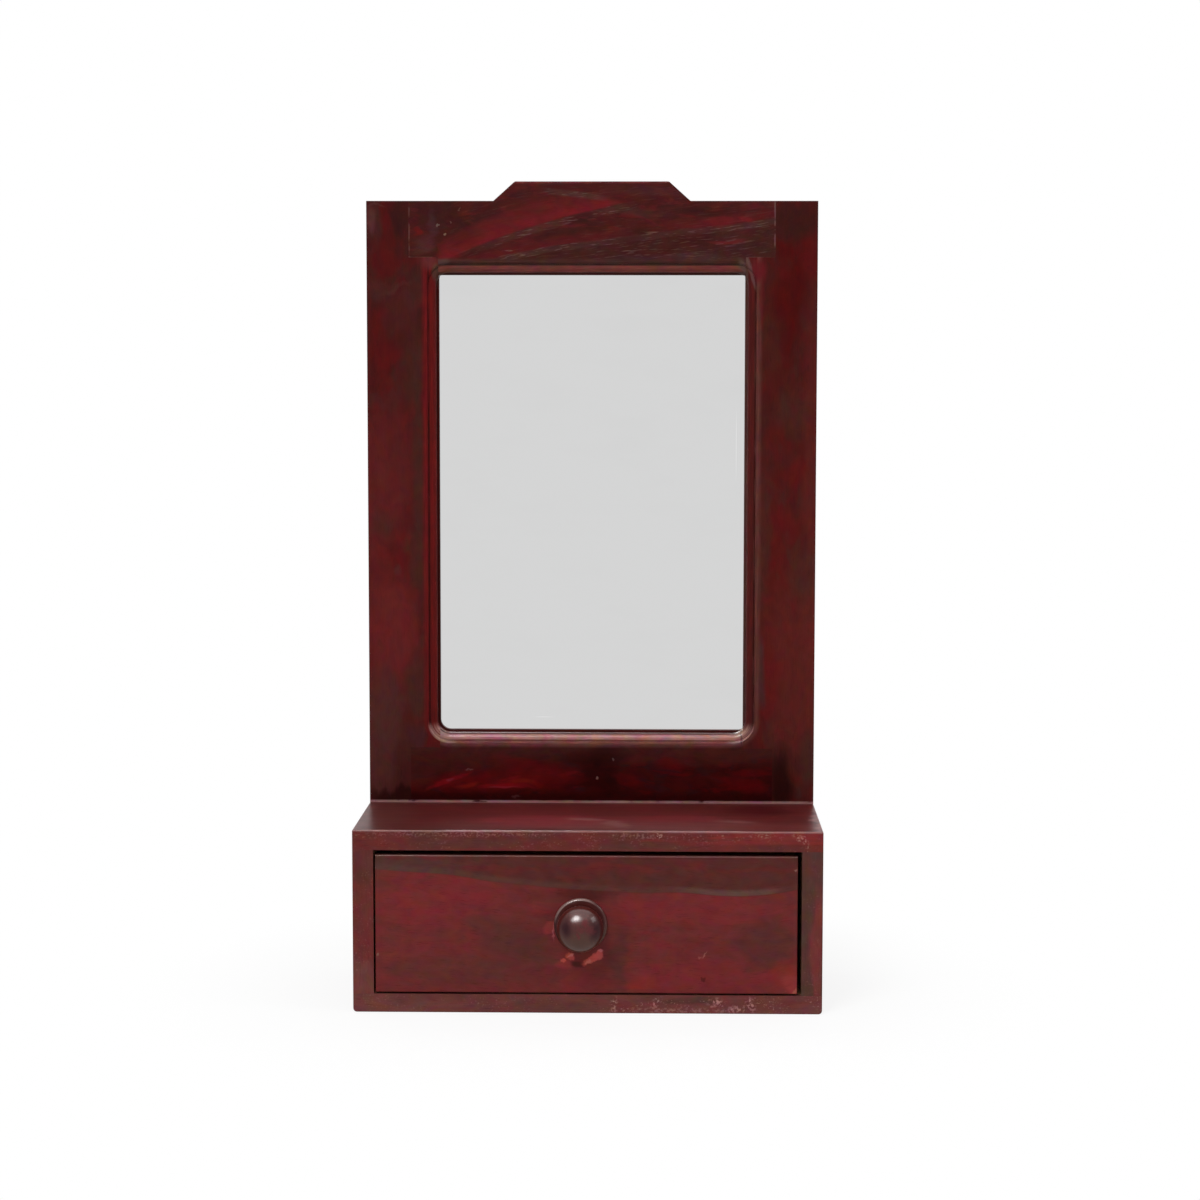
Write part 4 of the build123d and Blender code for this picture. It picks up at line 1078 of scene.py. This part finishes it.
# ---- Knob ------------------------------------------------------------------------------------
# Turned from hardwood with a thin flange and a flattened ball, dipped in dark brown lacquer and
# polished by hands, with a few redder finger marks. Its dull sides carry painted dark reflections,
# its lower half a painted olive reflection of the floor, and the left of the flange painted shade.
# The rubbed upper left rim is painted pale, partly wear and partly a painted highlight. Fine
# turning lines run round it.

KNOB_BROWN = (0.058, 0.0100, 0.0080)
KNOB_OLIVE = (0.062, 0.0190, 0.0100)
KNOB_SHADE_AND_DARK_REFLECTION = (0.026, 0.006, 0.009)
KNOB_RED = (0.110, 0.016, 0.020)
KNOB_WORN_HIGHLIGHT = (0.260, 0.170, 0.150)
KNOB_X = -4.2
KNOB_Z = 58.55
KNOB_RIM = 16.3

knob = Finish("knob_lacquer")
knob_x, _, knob_z = knob.axes(knob.place)
side, rise = knob_x - KNOB_X, knob_z - KNOB_Z
radius = (side * side + rise * rise) ** 0.5
smudges = knob.noise(knob.place, (8.0, 8.0, 8.0), 5.0, detail=3.0)
turning = knob.field("ShaderNodeMath", {"operation": "SINE"}, {0: 9.0 * radius})
fine = knob.noise(knob.place, (2.6, 2.6, 2.6), 15.0, detail=4.0) - 0.5


def pushed(wander):
    """The place seen from the front, measured from the knob's middle and pushed about."""
    return knob.combine(side + wander, 0.0, rise - wander)


# Painted reflection of the floor: the lower half of the ball is tinted olive
floor_tint = knob.step(rise + 16.0 * smudges, 10.0, 0.0)
brown = knob.blend(floor_tint, KNOB_BROWN, KNOB_OLIVE)
# Painted dark reflections on the dull left and right sides of the ball
dark_side_place = pushed(3.0 * smudges)
dark = 0.95 * knob.spot(dark_side_place, (-7.2, 0.0, 0.6), (3.0, 1.0, 5.0), soft=0.8)
dark = dark.least(0.90 * knob.spot(dark_side_place, (12.0, 0.0, -0.5), (3.6, 1.0, 6.5), soft=0.9))
brown = knob.blend(dark, brown, KNOB_SHADE_AND_DARK_REFLECTION)
touched = pushed(7.0 * fine)
prints = knob.spot(touched, (3.2, 0.0, 6.4), (2.0, 1.0, 2.2), soft=0.6)
for x, z, wide, high, soft, strength in (
    (-1.3, -2.3, 1.2, 1.4, 0.6, 1.0),
    (6.8, 1.4, 2.6, 2.6, 0.7, 0.8),
    (0.8, 1.8, 3.4, 1.8, 0.7, 0.6),
):
    finger = knob.spot(touched, (x, 0.0, z), (wide, 1.0, high), soft=soft)
    prints = prints.least(strength * finger)
brown = knob.blend(0.7 * prints, brown, KNOB_RED)
# Painted shade on the left of the flange, which also loses its gloss there
left_rim_shade = knob.step(radius, KNOB_RIM - 1.2, KNOB_RIM - 0.4) * knob.step(side, 3.0, -8.0)
left_rim_shade = left_rim_shade * knob.step(rise, 12.0, 4.0)
brown = knob.blend(0.6 * left_rim_shade, brown, KNOB_SHADE_AND_DARK_REFLECTION)
# The upper left rim is painted pale: partly rubbed wear and partly a painted highlight
rim_wear_and_highlight = knob.step(radius, KNOB_RIM - 0.5, KNOB_RIM + 0.2)
rim_wear_and_highlight = rim_wear_and_highlight * knob.step(rise - 0.5 * side, 8.0, 17.0)
dull = dark.least(0.75 * prints).least(0.95 * left_rim_shade)
knob.finish(
    {
        "Base Color": knob.blend(0.6 * rim_wear_and_highlight, brown, KNOB_WORN_HIGHLIGHT),
        "Roughness": 0.36,
        "Specular IOR Level": 0.11,
        "Coat Weight": 0.58 * (1.0 - dull),
        "Coat Roughness": 0.13,
    },
    0.001 * turning + 0.12 * smudges,
)
knob.put_on("drawer_knob")


# ---- Floor, light and camera -----------------------------------------------------------------
# A plain pale studio: the piece stands on a wide white floor that runs out of sight, lit by a
# large soft lamp above and to the left, a weaker one to the right, and pale walls all round.

WHITE = (1.0, 1.0, 1.0)
FLOOR_COLOUR = (0.92, 0.92, 0.92)
FLOOR_HALF = 30.0
WALL_GLOW = 0.74

# The camera sees the floor this white near the piece, and pure white where shadows have run out
FLOOR_WHITENESS = 0.84
SHADOW_REACH = (130.0, 330.0)

floor_mesh = bpy.data.meshes.new("studio_floor")
corners = [(-1.0, -1.0), (1.0, -1.0), (1.0, 1.0), (-1.0, 1.0)]
floor_mesh.from_pydata(
    [(FLOOR_HALF * x, FLOOR_HALF * y, 0.0) for x, y in corners], [], [(0, 1, 2, 3)]
)
floor = bpy.data.objects.new("studio_floor", floor_mesh)
bpy.context.scene.collection.objects.link(floor)


def seen_by(finish, rays):
    """1 for rays of one kind and 0 for all others."""
    return finish.field("ShaderNodeLightPath", {}, {}, f"Is {rays} Ray")


ground = Finish("studio_floor")
distance = ground.vector("LENGTH", {0: ground.place}, "Value")
far = ground.step(distance, *SHADOW_REACH)
mirror_ray = seen_by(ground, "Glossy") + seen_by(ground, "Transmission")
whiteness = FLOOR_WHITENESS + (1.0 - FLOOR_WHITENESS) * far
paint = ground.field("ShaderNodeBsdfDiffuse", {}, {"Color": FLOOR_COLOUR})
white = ground.field("ShaderNodeEmission", {}, {"Color": WHITE, "Strength": 1.0})
pale = ground.field("ShaderNodeEmission", {}, {"Color": WHITE, "Strength": WALL_GLOW})
near_white = ground.field(
    "ShaderNodeMixShader",
    {},
    {0: seen_by(ground, "Camera") * whiteness, 1: paint, 2: white},
)
seen = ground.field("ShaderNodeMixShader", {}, {0: mirror_ray, 1: near_white, 2: pale})
ground.node("ShaderNodeOutputMaterial", {}, {0: seen})
floor_mesh.materials.append(ground.material)

# Light of the walls: on the object, and what its gloss sees overhead and in one bright screen
AMBIENT = 0.55
OVERHEAD_GLOW = 2.4
SCREEN_GLOW = 16.0
SCREEN_WAY = (-0.30, -0.60, 0.70)
SCREEN_SHAPE = (0.55, 1.0, 1.0)
SCREEN_EDGE = 0.30
SCREEN_CORE = 0.06

world = bpy.data.worlds.new("studio_walls")
bpy.context.scene.world = world
world.use_nodes = True


class Walls(Finish):
    """The world's nodes, built with the same calls as a finish."""

    def __init__(self, tree):
        self.tree = tree
        self.tree.nodes.clear()


walls = Walls(world.node_tree)
to_x, to_y, to_z = walls.axes(walls.field("ShaderNodeTexCoord", {}, {}, "Generated"))
wall_camera = seen_by(walls, "Camera")
wall_glossy = seen_by(walls, "Glossy") + seen_by(walls, "Transmission")
behind = walls.step(to_y, -0.1, 0.4)
overhead = walls.step(to_z, 0.30, 0.90) * walls.step(abs(to_x), 0.80, 0.40)
wall_light = WALL_GLOW + (1.0 - WALL_GLOW) * behind + (OVERHEAD_GLOW - WALL_GLOW) * overhead
from_screen = [part - way for part, way in zip((to_x, to_y, to_z), SCREEN_WAY)]
off_screen = sum((part * shape) ** 2.0 for part, shape in zip(from_screen, SCREEN_SHAPE)) ** 0.5
screen = walls.step(off_screen, SCREEN_EDGE, SCREEN_CORE)
glossy_light = wall_light + SCREEN_GLOW * screen
diffuse_light = AMBIENT * (1.0 - wall_camera) * (1.0 - wall_glossy)
light = wall_camera + wall_glossy * (1.0 - wall_camera) * glossy_light + diffuse_light
background = walls.field("ShaderNodeBackground", {}, {"Color": WHITE, "Strength": light})
walls.node("ShaderNodeOutputWorld", {}, {0: background})


def lamp(name, towards, distance, size, power):
    """Square soft lamp that faces the middle of the piece from the given direction."""
    aim = Vector((0.0, -0.02, 0.25))
    data = bpy.data.lights.new(name, "AREA")
    data.shape = "SQUARE"
    data.size = size
    data.energy = power
    thing = bpy.data.objects.new(name, data)
    bpy.context.scene.collection.objects.link(thing)
    way = Vector(towards).normalized()
    thing.location = aim + distance * way
    thing.rotation_euler = way.to_track_quat("Z", "Y").to_euler()


lamp("key_lamp", towards=(-0.271, -0.639, 0.719), distance=1.6, size=0.6, power=14.0)
lamp("fill_lamp", towards=(0.83, -0.28, 0.48), distance=1.8, size=0.6, power=6.0)

CAMERA_PLACE = (0.04159, -1.758, 0.42196)
CAMERA_LENS = 79.57
CAMERA_SENSOR = 36.0
CAMERA_PITCH = math.radians(5.133)
CAMERA_YAW = math.radians(1.136)
CAMERA_ROLL = math.radians(0.063)

camera_data = bpy.data.cameras.new("camera")
camera_data.sensor_width = CAMERA_SENSOR
camera_data.lens = CAMERA_LENS
camera = bpy.data.objects.new("camera", camera_data)
bpy.context.scene.collection.objects.link(camera)
looking = Vector(
    (
        -math.sin(CAMERA_YAW) * math.cos(CAMERA_PITCH),
        math.cos(CAMERA_YAW) * math.cos(CAMERA_PITCH),
        -math.sin(CAMERA_PITCH),
    )
)
level = Vector((math.cos(CAMERA_YAW), math.sin(CAMERA_YAW), 0.0))
upward = level.cross(looking)
right = math.cos(CAMERA_ROLL) * level + math.sin(CAMERA_ROLL) * upward
top = math.cos(CAMERA_ROLL) * upward - math.sin(CAMERA_ROLL) * level
camera.matrix_world = Matrix.Translation(CAMERA_PLACE) @ Matrix(
    (right, top, -looking)
).transposed().to_4x4()
bpy.context.scene.camera = camera
bpy.context.scene.view_settings.view_transform = "Standard"
